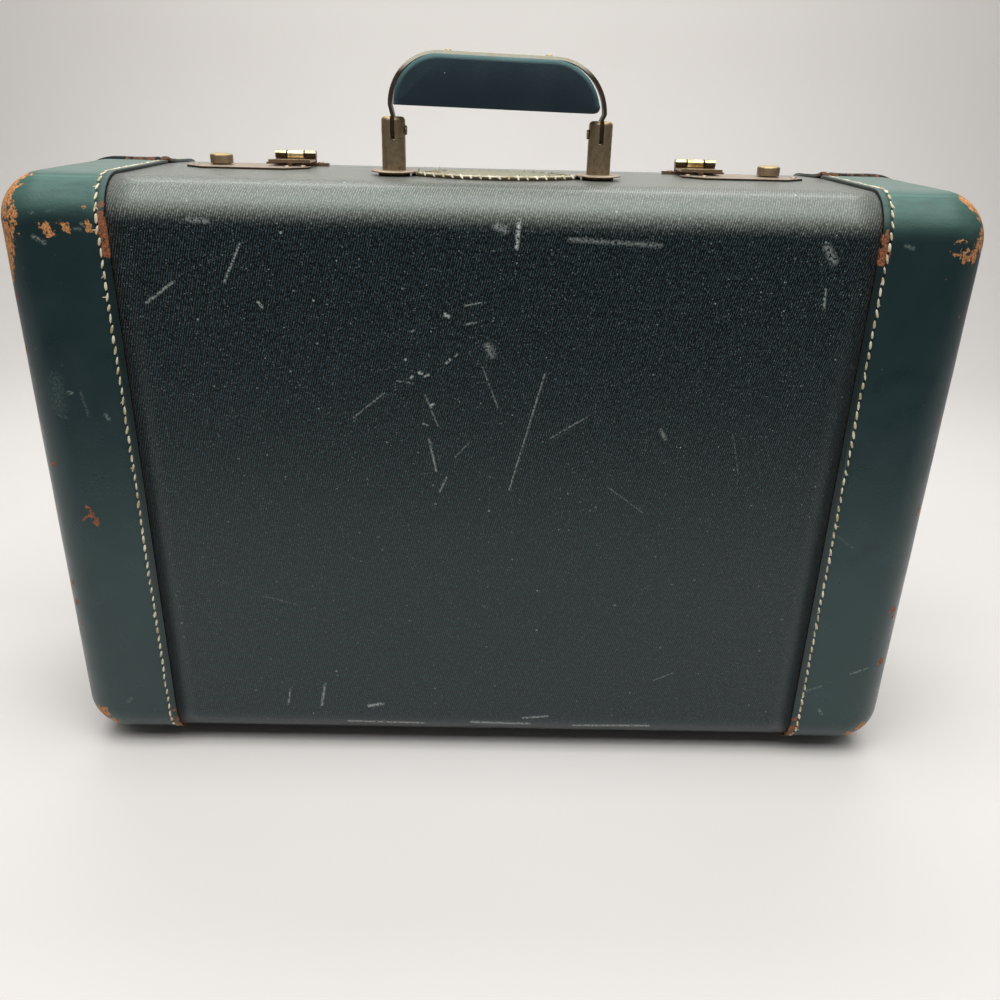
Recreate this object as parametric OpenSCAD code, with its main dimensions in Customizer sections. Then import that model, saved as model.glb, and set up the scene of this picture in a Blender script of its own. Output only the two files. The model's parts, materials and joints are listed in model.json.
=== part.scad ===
// Vintage hard suitcase, standing on its hinge side with the handle up.
// Origin on the floor under the middle of the case, X across, Y front to back, Z up.

/* [Case] */
// Width over the leather ends
case_w = 533; // [420:1:640]
// Height over the leather, without the feet
case_h = 358; // [280:1:430]
// Depth of the body half, which carries the handle
body_d = 110; // [95:1:150]
// Depth of the lid half
lid_d = 70; // [60:1:95]
// Thickness of the plywood walls
wall_t = 5; // [5:0.5:8]
// Rounding where the big faces turn into the walls
edge_r = 22; // [16:1:26]
// Flat left on the lid's face between the edge rounding and the outline corner
corner_flat = 1; // [0.5:0.5:8]
// Angle by which the lid's walls fall away from the opening
lid_draft = 2.5; // [1:0.5:3]
// Gap between the two halves along the opening
closing_gap = 0.6; // [0.4:0.1:1.2]

/* [Covering] */
// Width of the leather on each end
leather_w = 63.5; // [50:0.5:85]
// Thickness of the leather
leather_t = 2.4; // [1.6:0.1:3]
// Thickness of the cloth
cloth_t = 0.7; // [0.5:0.1:1.2]
// Thickness of the paper and cloth lining
lining_t = 0.8; // [0.6:0.1:1.5]
// Glue between a wall and its covering
glue_t = 0.1; // [0.05:0.05:0.2]

/* [Rim] */
// How far the body's tongue reaches into the lid
tongue_h = 5; // [3:0.5:7]
// How far the tongue strip runs down inside the body
tongue_seat = 12; // [8:1:20]
// Thickness of the tongue strip
tongue_t = 2; // [1.5:0.1:3]
// Clearance between the tongue and the lid's wall
tongue_clear = 0.7; // [0.6:0.1:1.2]

/* [Handle] */
// Distance from the front face back to the handle's axis
handle_back = 58; // [50:1:70]
// Distance from the middle of the case to each post
post_x = 58; // [52:1:75]
// Diameter of a post
post_d = 13.3; // [11:0.1:16]
// Height of a post above the cloth
post_h = 31; // [26:1:40]
// Rounding of a post's shoulder
post_shoulder = 2.2; // [1:0.1:3]
// Diameter of the round plate under a post
rosette_d = 26.6; // [22:0.2:28]
// Thickness of the round plate under a post
rosette_t = 1; // [0.8:0.1:2]
// Diameter of the foot that the round plate stands on
rosette_foot_d = 18; // [16:0.5:20]
// Diameter of a post's shank through the wall
shank_d = 5; // [4:0.1:6]
// Height of the handle's pivot above the cloth
pivot_h = 24; // [20:0.5:25]
// Diameter of a pivot pin
pivot_d = 3; // [2:0.1:3.6]
// Width of the handle's metal band
band_w = 10; // [7:0.5:11]
// Thickness of the handle's metal band
band_t = 1.8; // [1.4:0.1:2.4]
// Height of the band's top above the cloth
band_top = 65.5; // [62:0.5:75]
// How far the band bows out past the posts
band_bow = 1.5; // [0.5:0.1:3]
// Space between each end of the leather grip and the band
grip_gap = 1.9; // [1.5:0.1:6]
// Height of the leather grip
grip_h = 26.5; // [26:0.5:28]
// Thickness of the leather grip
grip_t = 20; // [16:0.5:26]
// Radius of the grip's half-moon ends
grip_end_r = 26; // [16:0.5:26]
// Rounding of the grip's long edges
grip_edge_r = 7; // [4:0.5:7.5]
// How far the worn grip has slid to the left in its band
grip_shift = 0.5; // [0:0.1:1]
// Distance from the middle of the band to each of its rivets
grip_rivet_x = 27.4; // [20:0.2:29]
// Half the width of the leather pad under the grip
pad_half_w = 22; // [16:1:26]
// Thickness of the pad at its stitched edge
pad_edge_t = 1.2; // [0.8:0.1:2]
// How much the pad swells in the middle
pad_crown = 2.3; // [1:0.1:3]
// Room over the pad's thin ends, under the round plates
pad_room = 0.8; // [0.6:0.1:1.2]

/* [Latches] */
// Distance from the leather's edge to a lock plate's outer tip
seam_clear = 18.5; // [10:0.5:25]
// Length of a lock plate
plate_l = 72.5; // [70:0.5:78]
// Depth of a lock plate, front to back
plate_d = 31.5; // [30:0.5:36]
// Thickness of a lock plate
plate_t = 1.2; // [1:0.1:1.5]
// Length of a lock plate's tapered ends
plate_point = 12; // [8:1:14]
// Width of a lock plate's blunt tips
plate_tip = 9; // [8:0.5:12]
// Distance from a lock plate's inner tip to the middle of the hasp
plate_inset = 12.5; // [11:0.5:14]
// Distance from the opening to the back of a lock plate
plate_back = 3; // [2:0.5:5]
// Distance from the opening to the line of the bolt
lock_back = 14; // [13:0.5:16]
// Distance from the middle of the hasp to the slide knob
knob_x = 41.5; // [40:0.5:44]
// Diameter of a slide knob
knob_d = 13.5; // [10:0.5:15]
// Height of a slide knob
knob_h = 5.8; // [5:0.1:8]
// Clearance between a slide knob and its plate
knob_lift = 0.5; // [0.4:0.1:1.5]
// Travel of a slide knob
knob_travel = 5; // [3:0.5:6]
// Width of a hasp
hasp_w = 25; // [24:0.5:30]
// Thickness of a hasp's leaf
hasp_t = 1.2; // [1:0.1:1.6]
// Height of a hasp's leaf above the cloth
hasp_lift = 3; // [2.8:0.1:3.4]
// Length of a hasp from its hinge line to its finger lip
hasp_l = 22.5; // [21.5:0.5:26]
// Height of a hasp's hinge line above the cloth
hasp_axis_h = 6.5; // [6.2:0.1:7.5]
// Distance from the opening back to a hasp's hinge line
hasp_axis_back = 4; // [3.6:0.1:5]
// Radius of a hasp's barrel
hasp_barrel_r = 2.6; // [2.2:0.1:2.7]
// Width of the middle knuckle of a hasp
hasp_knuckle = 10.4; // [8:0.2:12]
// Diameter of a hasp's pin
hasp_pin_d = 2; // [1.4:0.1:2.4]

/* [Hinges and feet] */
// Width of a hinge
hinge_w = 40; // [34:1:50]
// Depth of a hinge's leaf, from the hinge line
hinge_d = 22; // [20:1:26]
// Thickness of a hinge's leaf
hinge_t = 1.2; // [0.8:0.1:1.4]
// Radius of a hinge's barrel
hinge_barrel_r = 2.4; // [2.2:0.1:2.6]
// Width of a hinge's middle knuckle
hinge_knuckle = 13.4; // [10:0.2:16]
// Diameter of a hinge's pin
hinge_pin_d = 2.2; // [1.6:0.1:2.4]
// Diameter of a foot
foot_d = 16; // [12:0.5:20]
// Height of the case above the floor
foot_h = 7; // [6.5:0.5:10]
// Distance from each end of the case to its feet
foot_in = 34.5; // [31:0.5:50]
// Distance from the opening to the body's feet
body_foot_v = 68; // [55:1:70]
// Distance from the opening to the lid's feet
lid_foot_v = 34; // [28:1:36]

/* [Fasteners] */
// Diameter of the small nails' shanks
nail_d = 1.6; // [1.2:0.1:2]
// Diameter of the small nails' heads
nail_head_d = 4.2; // [3:0.1:4.6]
// Height of the small nails' heads
nail_head_h = 0.8; // [0.5:0.1:0.9]
// How far a nail reaches into the plywood
nail_bite = 3.5; // [2.5:0.1:4]
// Clearance round a pin or nail in its hole
fit = 0.06; // [0.03:0.01:0.1]
// Clearance between pieces that pass each other
run = 0.3; // [0.25:0.05:0.5]

/* [Hidden] */
$fn = 64;
case_d = body_d + lid_d;
shell_w = case_w - 2 * leather_t;
shell_h = case_h - 2 * leather_t;
body_shell_d = body_d - leather_t;
lid_shell_d = lid_d - leather_t;
corner_r = edge_r + (lid_shell_d - edge_r) * tan(lid_draft) + corner_flat;
span_x = shell_w / 2 - corner_r;
span_z = shell_h / 2 - corner_r;
seam_x = case_w / 2 - leather_w;
foot_x = case_w / 2 - foot_in;
split_y = (body_d - lid_d) / 2;
mid_z = foot_h + case_h / 2;
shell_top_z = foot_h + case_h - leather_t;
top_z = shell_top_z + cloth_t;
bottom_z = foot_h + leather_t - cloth_t;
lining_z = shell_top_z - wall_t - lining_t;
open_v = closing_gap / 2;
handle_y = handle_back - case_d / 2;
pivot_z = top_z + pivot_h;

// Handle: slot, band and grip
slot_w = band_t + 2 * run;
slot_floor_h = pivot_h - band_w / 2 - run;
washer_d = 14;
washer_t = 1.2;
shank_head_d = 8;
shank_head_h = 1.5;
pin_head_d = 5.1;
pin_head_t = 0.9;
band_leg_h = post_h + run;
band_bend_rise = 5.7;
band_bend_h = band_leg_h + band_bend_rise;
band_x = post_x + band_bow;
band_r = band_top - band_t / 2 - band_bend_h;
grip_top_h = band_top - band_t;
grip_l = 2 * (band_x - band_t / 2 - grip_gap);
grip_rivet_l = 8;
grip_rivet_crown_d = 3.2;
pad_half_l = post_x - rosette_foot_d / 2 - run;
rosette_foot_h = pad_edge_t + pad_room;
rosette_h = rosette_foot_h + rosette_t;

// Latches, measured from the middle of the hasp, the opening and the cloth
plate_mid = plate_back + plate_d / 2;
plate_end = plate_l - plate_inset;
latch_x = seam_x - seam_clear - plate_end;
tip_nail = 4.2;
front_nail = 8.2;
plate_nails = [
    [plate_end - tip_nail, -plate_mid],
    [tip_nail - plate_inset, -plate_mid],
    [0, front_nail - plate_back - plate_d]
];
lock_wall = 0.8;
lock_depth = 4.6;
lock_half_w = 6.5;
lock_in = 4;
lock_end = 1;
lock_out = plate_end - tip_nail - nail_d / 2 - lock_end;
bolt_t = 2.4;
bolt_half_w = 4;
bolt_mid_h = -lock_depth + lock_wall + run + bolt_t / 2;
bolt_in = 5;
bolt_end = 3;
bolt_out = knob_x + bolt_end;
nose_d = 1.4;
nose_rise = 0.3;
nose_h = bolt_mid_h + nose_rise;
window_in = 17;
window_l = 13;
window_out = window_in + window_l + knob_travel;
window_half_w = 2;
spring_room = 8;
lug_x = window_in + knob_travel + spring_room;
lug_t = 1.4;
knob_shank_d = 4;
spring_r = 1.1;
spring_wire = 0.5;
spring_turns = 7;
coil_steps = 8;
coil_sides = 6;
coil_l = lug_x - window_in - spring_wire - 2 * run;
coil_rings = spring_turns * coil_steps;
staple_half_w = 1.5;
staple_half_l = 2.5;
staple_tip_h = -lock_depth + lock_wall + run;
staple_swing = norm([hasp_axis_back + lock_back + staple_half_l, hasp_axis_h - staple_tip_h])
    - (hasp_axis_back + lock_back + staple_half_l) + run;
eye_d = nose_d + 2 * run;
lip_l = 1.3;
lip_h = 1.9;
hasp_neck = 1.6;
hasp_base_t = 2;
hasp_base_y = 1.5;
hasp_base_d = 11.4;
hasp_lobe_y = 8;
hasp_lobe_r = 5.2;
hasp_lobe_out = 2.1;
hasp_lobe_x = hasp_w / 2 + hasp_lobe_out;

// Hinges, measured from the hinge line and the cloth underneath
hinge_axis_h = -hinge_barrel_r - run;
hinge_axis_z = bottom_z + hinge_axis_h;
hinge_cut = hinge_barrel_r + run + glue_t;
hinge_neck = 0.4;
hinge_sink = 0.05;
hinge_edge = 5;
hinge_stagger = 4;
hinge_nails = [
    [hinge_edge - hinge_w / 2, hinge_d - hinge_edge - hinge_stagger],
    [0, hinge_d - hinge_edge],
    [hinge_w / 2 - hinge_edge, hinge_d - hinge_edge - hinge_stagger]
];

// Small roundings and steps of the turned pieces
nail_bevel = 0.3;
knob_bevel = 0.3;
knob_foot = 0.5;
knob_crown = 1;
knob_top_r = 3.4;
lining_step = 0.5;

leather_green = "#1f4a40";
cloth_green = "#1c2a29";
aged_brass = "#8a7250";
bright_brass = "#c9a955";
plywood = "#b08d5c";
lining_tan = "#b9a27c";
steel_grey = "#8d8d8a";

// Section through a wall, from the outline's corner centre outwards (u) and from the opening
// to the face (v), with its outside moved out by o.
function wall_u(o, v, draft) = corner_r + o - v * tan(draft);

module filled_section(o, depth, draft, from_v, from_u) {
    centre = [wall_u(-edge_r, depth - edge_r, draft), depth - edge_r];
    r = edge_r + o;
    wall_end = centre + [r, 0];
    face_end = centre + [0, r];
    corner = centre + [r, r];
    polygon([
        [from_u, from_v], [wall_u(o, from_v, draft), from_v], wall_end, centre, face_end, [from_u, depth + o]
    ]);
    intersection() {
        translate(centre) circle(r);
        polygon([centre, wall_end, corner, face_end]);
    }
}

module wall_section(inner, outer, depth, draft, from_v) {
    difference() {
        filled_section(outer, depth, draft, from_v, 0);
        filled_section(inner, depth, draft, from_v - 1, -1);
    }
}

// Carries a section round the rounded outline of the case.
module round_outline() {
    spans = [span_x, span_z];
    for (k = [0:3])
        rotate([0, 0, 90 * k]) translate([spans[k % 2], spans[(k + 1) % 2], 0]) {
            rotate([90, 0, 0]) linear_extrude(2 * spans[(k + 1) % 2]) children();
            rotate_extrude(angle = 90) children();
        }
}

// A tray-shaped layer of one half, between two distances from the wall's outside.
module tray(inner, outer, depth, draft, from_v) {
    round_outline() wall_section(inner, outer, depth, draft, from_v);
    translate([-span_x, -span_z, depth + inner]) cube([2 * span_x, 2 * span_z, outer - inner]);
}

module body_tray(inner, outer, from_v = open_v) {
    translate([0, split_y, mid_z]) rotate([90, 0, 0]) tray(inner, outer, body_shell_d, 0, from_v);
}

module lid_tray(inner, outer, from_v = open_v) {
    translate([0, split_y, mid_z]) mirror([0, 1, 0]) rotate([90, 0, 0])
        tray(inner, outer, lid_shell_d, lid_draft, from_v);
}

module between_x(from_x, to_x) {
    intersection() {
        children();
        translate([from_x, -case_d, -case_h]) cube([to_x - from_x, 2 * case_d, 3 * case_h]);
    }
}

module leather_end(side) {
    between_x(side < 0 ? -case_w : seam_x, side < 0 ? -seam_x : case_w) children();
}

// Places for the hardware
module handed(side) {
    mirror([side < 0 ? 1 : 0, 0, 0]) children();
}

module at_latch(side) {
    handed(side) translate([latch_x, split_y, top_z]) children();
}

module at_hinge(side) {
    handed(side) translate([latch_x, split_y, bottom_z]) children();
}

module at_post(side) {
    translate([side * post_x, handle_y, top_z]) children();
}

// The lid's covering next to the opening, whose walls fall away
module on_lid_top() {
    rotate([-lid_draft, 0, 0]) children();
}

module on_lid_bottom() {
    rotate([lid_draft, 0, 0]) children();
}

module bore_x(r, from_x, to_x) {
    translate([from_x, 0, 0]) rotate([0, 90, 0]) cylinder(r = r, h = to_x - from_x);
}

module nail(plate) {
    rotate_extrude() polygon([
        [0, -plate - cloth_t - nail_bite], [nail_d / 2, -plate - cloth_t - nail_bite], [nail_d / 2, 0],
        [nail_head_d / 2, 0], [nail_head_d / 2 - nail_bevel, nail_head_h / 2], [nail_d / 2, nail_head_h],
        [0, nail_head_h]
    ]);
}

module nail_hole(plate) {
    translate([0, 0, -plate - cloth_t - nail_bite - run])
        cylinder(d = nail_d + 2 * fit, h = plate + cloth_t + nail_bite + run + 1);
}

module lock_plate_nail_places() {
    for (side = [-1, 1]) at_latch(side) for (p = plate_nails) translate([p[0], p[1], plate_t]) children();
}

module hasp_plate_nail_places() {
    for (side = [-1, 1]) at_latch(side) on_lid_top()
        for (s = [-1, 1]) translate([s * hasp_lobe_x, hasp_lobe_y, hasp_base_t]) children();
}

module body_hinge_nail_places() {
    for (side = [-1, 1]) at_hinge(side)
        for (p = hinge_nails) translate([p[0], -p[1], -hinge_t]) rotate([180, 0, 0]) children();
}

module lid_hinge_nail_places() {
    for (side = [-1, 1]) at_hinge(side) on_lid_bottom()
        for (p = hinge_nails) translate([p[0], p[1], -hinge_t]) rotate([180, 0, 0]) children();
}

// Body half
module lock_recess() {
    for (side = [-1, 1]) at_latch(side) {
        translate([-lock_in - glue_t, -lock_back - lock_half_w - glue_t, -lock_depth - glue_t])
            cube([lock_in + lock_out + 2 * glue_t, 2 * (lock_half_w + glue_t), lock_depth + 2]);
        translate([-staple_half_w - 2 * run, -lock_back, staple_tip_h - run])
            cube([2 * staple_half_w + 4 * run, lock_back + 1, lock_depth + 2]);
    }
}

module shank_holes() {
    for (side = [-1, 1]) at_post(side) translate([0, 0, -leather_t - wall_t - lining_t - 2])
        cylinder(d = shank_d + 2 * fit, h = leather_t + wall_t + lining_t + 3);
}

module foot_nail_holes(v, side_of_split) {
    for (side = [-1, 1]) translate([side * foot_x, split_y + side_of_split * v, 0])
        cylinder(d = nail_d + 2 * fit, h = foot_top_z(side_of_split * v) + leather_t + nail_bite + run);
}

function foot_top_z(v) = foot_h + max(0, v) * tan(lid_draft);

module body_shell() {
    color(plywood) difference() {
        body_tray(-wall_t, 0);
        lock_recess();
        shank_holes();
        lock_plate_nail_places() nail_hole(plate_t);
        body_hinge_nail_places() nail_hole(hinge_t);
        foot_nail_holes(body_foot_v, -1);
    }
}

module body_cloth() {
    color(cloth_green) difference() {
        between_x(-seam_x, seam_x) body_tray(glue_t, cloth_t);
        lock_recess();
        shank_holes();
        lock_plate_nail_places() nail_hole(plate_t);
        body_hinge_nail_places() nail_hole(hinge_t);
    }
}

module body_leather(side) {
    color(leather_green) difference() {
        leather_end(side) body_tray(glue_t, leather_t);
        foot_nail_holes(body_foot_v, -1);
    }
}

module body_lining() {
    color(lining_tan) difference() {
        body_tray(-wall_t - lining_t, -wall_t - glue_t, tongue_seat + lining_step);
        shank_holes();
    }
}

module body_tongue() {
    seat_u = wall_u(-wall_t - glue_t, 0, 0);
    free_u = wall_u(-wall_t - tongue_clear, 0, 0);
    inner_u = seat_u - tongue_t;
    color(plywood) translate([0, split_y, mid_z]) rotate([90, 0, 0]) round_outline() polygon([
        [inner_u, -tongue_h], [free_u, -tongue_h], [free_u, open_v], [seat_u, open_v],
        [seat_u, tongue_seat], [inner_u, tongue_seat]
    ]);
}

module foot(v) {
    r = foot_d / 2;
    top = foot_top_z(v);
    tilt = v > 0 ? lid_draft : 0;
    difference() {
        union() {
            rotate_extrude() {
                translate([0, foot_h / 2]) square([r, foot_h]);
                intersection() {
                    translate([r - foot_h / 2, foot_h / 2]) circle(foot_h / 2);
                    translate([r - foot_h / 2, 0]) square([foot_h / 2, foot_h / 2]);
                }
                square([r - foot_h / 2, foot_h]);
            }
            cylinder(d = nail_d, h = top + leather_t + nail_bite);
        }
        translate([0, 0, top]) rotate([tilt, 0, 0]) difference() {
            translate([-foot_d, -foot_d, 0]) cube([2 * foot_d, 2 * foot_d, foot_d]);
            translate([0, 0, -foot_h]) rotate([-tilt, 0, 0]) cylinder(d = nail_d, h = 3 * foot_d);
        }
    }
}

module body_feet() {
    color(aged_brass) for (side = [-1, 1])
        translate([side * foot_x, split_y - body_foot_v, 0]) foot(-body_foot_v);
}

// Handle
module handle_pad() {
    plan_r = (pow(pad_half_l, 2) + pow(pad_half_w, 2)) / (2 * pad_half_w);
    crown_r = (pow(pad_half_w, 2) + pow(pad_crown, 2)) / (2 * pad_crown);
    long_crown_r = (pow(pad_half_l, 2) + pow(pad_crown, 2)) / (2 * pad_crown);
    pad_t = pad_edge_t + pad_crown;
    color(leather_green) translate([0, handle_y, top_z]) intersection() {
        translate([0, plan_r - pad_half_w, 0]) cylinder(r = plan_r, h = 2 * pad_t, $fn = 256);
        translate([0, pad_half_w - plan_r, 0]) cylinder(r = plan_r, h = 2 * pad_t, $fn = 256);
        translate([0, 0, pad_t - crown_r]) bore_x(crown_r, -post_x, post_x, $fn = 256);
        translate([0, 0, pad_t - long_crown_r]) rotate([0, 0, 90])
            bore_x(long_crown_r, -post_x, post_x, $fn = 512);
    }
}

module rosette(side) {
    color(aged_brass) at_post(side) rotate_extrude() polygon([
        [shank_d / 2 + fit, 0], [rosette_foot_d / 2, 0], [rosette_foot_d / 2, rosette_foot_h],
        [rosette_d / 2, rosette_foot_h], [rosette_d / 2, rosette_h - rosette_t / 2],
        [rosette_d / 2 - rosette_t, rosette_h], [shank_d / 2 + fit, rosette_h]
    ]);
}

module handle_post(side) {
    r = post_d / 2;
    head_top = lining_z - washer_t - top_z;
    color(aged_brass) at_post(side) difference() {
        rotate_extrude() {
            translate([0, rosette_h]) square([r, post_h - rosette_h - post_shoulder]);
            translate([0, post_h - 2 * post_shoulder]) square([r - post_shoulder, 2 * post_shoulder]);
            intersection() {
                translate([r - post_shoulder, post_h - post_shoulder]) circle(post_shoulder);
                translate([r - post_shoulder, post_h - post_shoulder]) square(post_shoulder);
            }
            translate([0, head_top]) square([shank_d / 2, rosette_h - head_top]);
            translate([0, head_top - shank_head_h]) square([shank_head_d / 2, shank_head_h]);
        }
        translate([-slot_w / 2, -post_d, slot_floor_h]) cube([slot_w, 2 * post_d, post_h]);
        translate([0, 0, pivot_h]) bore_x(pivot_d / 2 + fit, -post_d, post_d);
    }
}

module handle_washers() {
    color(steel_grey) for (side = [-1, 1]) translate([side * post_x, handle_y, lining_z - washer_t])
        difference() {
            cylinder(d = washer_d, h = washer_t);
            translate([0, 0, -1]) cylinder(d = shank_d + 2 * fit, h = washer_t + 2);
        }
}

module handle_pivot_pins() {
    color(aged_brass) for (side = [-1, 1]) handed(side)
        translate([post_x, handle_y, pivot_z]) {
            bore_x(pivot_d / 2, -post_d / 2 - fit, post_d / 2);
            bore_x(pin_head_d / 2, -post_d / 2 - pin_head_t - fit, -post_d / 2 - fit);
        }
}

module band_outline() {
    bend = [band_x, band_bend_h];
    arc_centre = bend - [band_r, 0];
    half = [band_t / 2, 0];
    translate([-arc_centre[0], band_top - band_t]) square([2 * arc_centre[0], band_t]);
    for (side = [-1, 1]) mirror([side < 0 ? 1 : 0, 0]) {
        polygon([[post_x, band_leg_h] - half, [post_x, band_leg_h] + half, bend + half, bend - half]);
        translate(arc_centre) intersection() {
            difference() {
                circle(band_r + band_t / 2);
                circle(band_r - band_t / 2);
            }
            square(2 * band_r);
        }
    }
}

module band_leg() {
    difference() {
        translate([-band_t / 2, 0, 0]) rotate([90, 0, 90]) linear_extrude(band_t) {
            translate([0, pivot_h]) circle(d = band_w);
            translate([-band_w / 2, pivot_h]) square([band_w, band_leg_h - pivot_h]);
        }
        translate([0, 0, pivot_h]) bore_x(pivot_d / 2 + fit, -band_t, band_t);
    }
}

module grip_rivet_places() {
    for (side = [-1, 1]) translate([side * grip_rivet_x, handle_y, top_z + band_top]) children();
}

module handle_band() {
    color(aged_brass) difference() {
        union() {
            translate([0, handle_y, top_z]) rotate([90, 0, 0])
                linear_extrude(band_w, center = true) band_outline();
            for (side = [-1, 1]) at_post(side) band_leg();
        }
        grip_rivet_places() translate([0, 0, -2 * band_t]) cylinder(d = nail_d + 2 * fit, h = 4 * band_t);
    }
}

// Half of the grip's cross-section, from its middle line out to a rounded edge
module grip_section(reach) {
    flat = grip_t - 2 * grip_edge_r;
    translate([0, -grip_t / 2]) square([reach - grip_edge_r, grip_t]);
    translate([reach - grip_edge_r, -flat / 2]) square([grip_edge_r, flat]);
    for (s = [-1, 1]) translate([reach - grip_edge_r, s * flat / 2]) intersection() {
        circle(grip_edge_r);
        translate([0, s < 0 ? -grip_edge_r : 0]) square(grip_edge_r);
    }
}

module handle_grip() {
    half_flat = grip_l / 2 - grip_end_r;
    end_z = top_z + grip_top_h - grip_end_r;
    base_t = grip_h - grip_end_r;
    color(leather_green) difference() {
        translate([-grip_shift, handle_y, end_z]) {
            translate([-half_flat, 0, 0]) rotate([0, 90, 0]) mirror([1, 0, 0])
                linear_extrude(2 * half_flat) grip_section(grip_end_r);
            for (side = [-1, 1]) handed(side) translate([half_flat, 0, 0]) {
                rotate([90, 0, 0]) rotate_extrude(angle = 90) grip_section(grip_end_r);
                translate([0, 0, -base_t]) linear_extrude(base_t) grip_section(grip_end_r);
            }
            translate([-half_flat, -grip_t / 2, -base_t]) cube([2 * half_flat, grip_t, base_t]);
        }
        grip_rivet_places() translate([0, 0, -band_t - grip_rivet_l - run])
            cylinder(d = nail_d + 2 * fit, h = grip_rivet_l + 2);
    }
}

module grip_rivets() {
    color(aged_brass) grip_rivet_places() {
        translate([0, 0, -band_t - grip_rivet_l]) cylinder(d = nail_d, h = band_t + grip_rivet_l);
        cylinder(d1 = nail_head_d, d2 = grip_rivet_crown_d, h = nail_head_h);
    }
}

// Latches
module lock_plate(side) {
    front = -plate_back - plate_d;
    color(aged_brass) at_latch(side) difference() {
        linear_extrude(plate_t) polygon([
            [-plate_inset, -plate_mid - plate_tip / 2], [plate_point - plate_inset, front],
            [plate_end - plate_point, front], [plate_end, -plate_mid - plate_tip / 2],
            [plate_end, -plate_mid + plate_tip / 2], [plate_end - plate_point, -plate_back],
            [plate_point - plate_inset, -plate_back], [-plate_inset, -plate_mid + plate_tip / 2]
        ]);
        translate([knob_x, -lock_back, -1]) {
            cylinder(d = knob_shank_d + 2 * run, h = plate_t + 2);
            translate([knob_travel, 0, 0]) cylinder(d = knob_shank_d + 2 * run, h = plate_t + 2);
            translate([0, -knob_shank_d / 2 - run, 0])
                cube([knob_travel, knob_shank_d + 2 * run, plate_t + 2]);
        }
        translate([-staple_half_w - 2 * run, -lock_back - staple_half_l - staple_swing, -1])
            cube([2 * staple_half_w + 4 * run, lock_back + staple_half_l + staple_swing, plate_t + 2]);
        for (p = plate_nails) translate([p[0], p[1], plate_t]) nail_hole(plate_t);
    }
}

module lock_plate_nails() {
    color(aged_brass) lock_plate_nail_places() nail(plate_t);
}

module lock_case(side) {
    inside_w = 2 * (lock_half_w - lock_wall);
    color(steel_grey) at_latch(side) translate([0, -lock_back, -lock_depth]) {
        difference() {
            translate([-lock_in, -lock_half_w, 0])
                cube([lock_in + lock_out, 2 * lock_half_w, lock_depth]);
            translate([-lock_in + lock_wall, -inside_w / 2, lock_wall])
                cube([lock_in + lock_out - 2 * lock_wall, inside_w, lock_depth]);
            translate([-staple_half_w - 2 * run, 0, lock_wall])
                cube([2 * staple_half_w + 4 * run, 2 * lock_half_w, lock_depth]);
        }
        translate([lug_x, -window_half_w + run, lock_wall / 2])
            cube([lug_t, 2 * (window_half_w - run), lock_depth - lock_wall]);
    }
}

// A coil along X as one unbroken tube of a round wire.
function coil_point(i, s) = let(
    turn = 360 * i / coil_steps,
    side = 360 * s / coil_sides,
    r = spring_r + spring_wire / 2 * cos(side)
) [
    coil_l * i / coil_rings + spring_wire / 2 * sin(side),
    r * cos(turn),
    r * sin(turn)
];

module coil() {
    last = coil_rings * coil_sides;
    points = [for (i = [0:coil_rings], s = [0:coil_sides - 1]) coil_point(i, s)];
    walls = [
        for (i = [0:coil_rings - 1], s = [0:coil_sides - 1])
        let(a = i * coil_sides + s, b = i * coil_sides + (s + 1) % coil_sides)
        each [[a, b, b + coil_sides], [a, b + coil_sides, a + coil_sides]]
    ];
    first_cap = [for (s = [1:coil_sides - 2]) [0, s + 1, s]];
    last_cap = [for (s = [1:coil_sides - 2]) [last, last + s, last + s + 1]];
    polyhedron(points, concat(walls, first_cap, last_cap));
}

module lock_spring(side) {
    color(steel_grey) at_latch(side)
        translate([window_in + run + spring_wire / 2, -lock_back, bolt_mid_h]) coil();
}

module lock_bolt(side) {
    color(steel_grey) at_latch(side) translate([0, -lock_back, bolt_mid_h]) {
        difference() {
            translate([bolt_in, -bolt_half_w, -bolt_t / 2])
                cube([bolt_out - bolt_in, 2 * bolt_half_w, bolt_t]);
            translate([window_in, -window_half_w, -bolt_t])
                cube([window_out - window_in, 2 * window_half_w, 2 * bolt_t]);
            translate([knob_x, 0, -bolt_t]) cylinder(d = knob_shank_d + 2 * fit, h = 2 * bolt_t);
        }
        translate([0, 0, nose_rise]) bore_x(nose_d / 2, staple_half_w + run + glue_t, bolt_in + 1);
    }
}

module slide_knob(side) {
    r = knob_d / 2;
    under = plate_t + knob_lift;
    foot_of_shank = bolt_mid_h - bolt_t / 2;
    color(aged_brass) at_latch(side) translate([knob_x, -lock_back, 0]) rotate_extrude() polygon([
        [0, foot_of_shank], [knob_shank_d / 2, foot_of_shank], [knob_shank_d / 2, under],
        [r - knob_bevel, under], [r, under + knob_foot], [r, under + knob_h - knob_crown],
        [r - knob_crown + knob_bevel, under + knob_h - knob_bevel], [knob_top_r, under + knob_h],
        [0, under + knob_h]
    ]);
}

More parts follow.
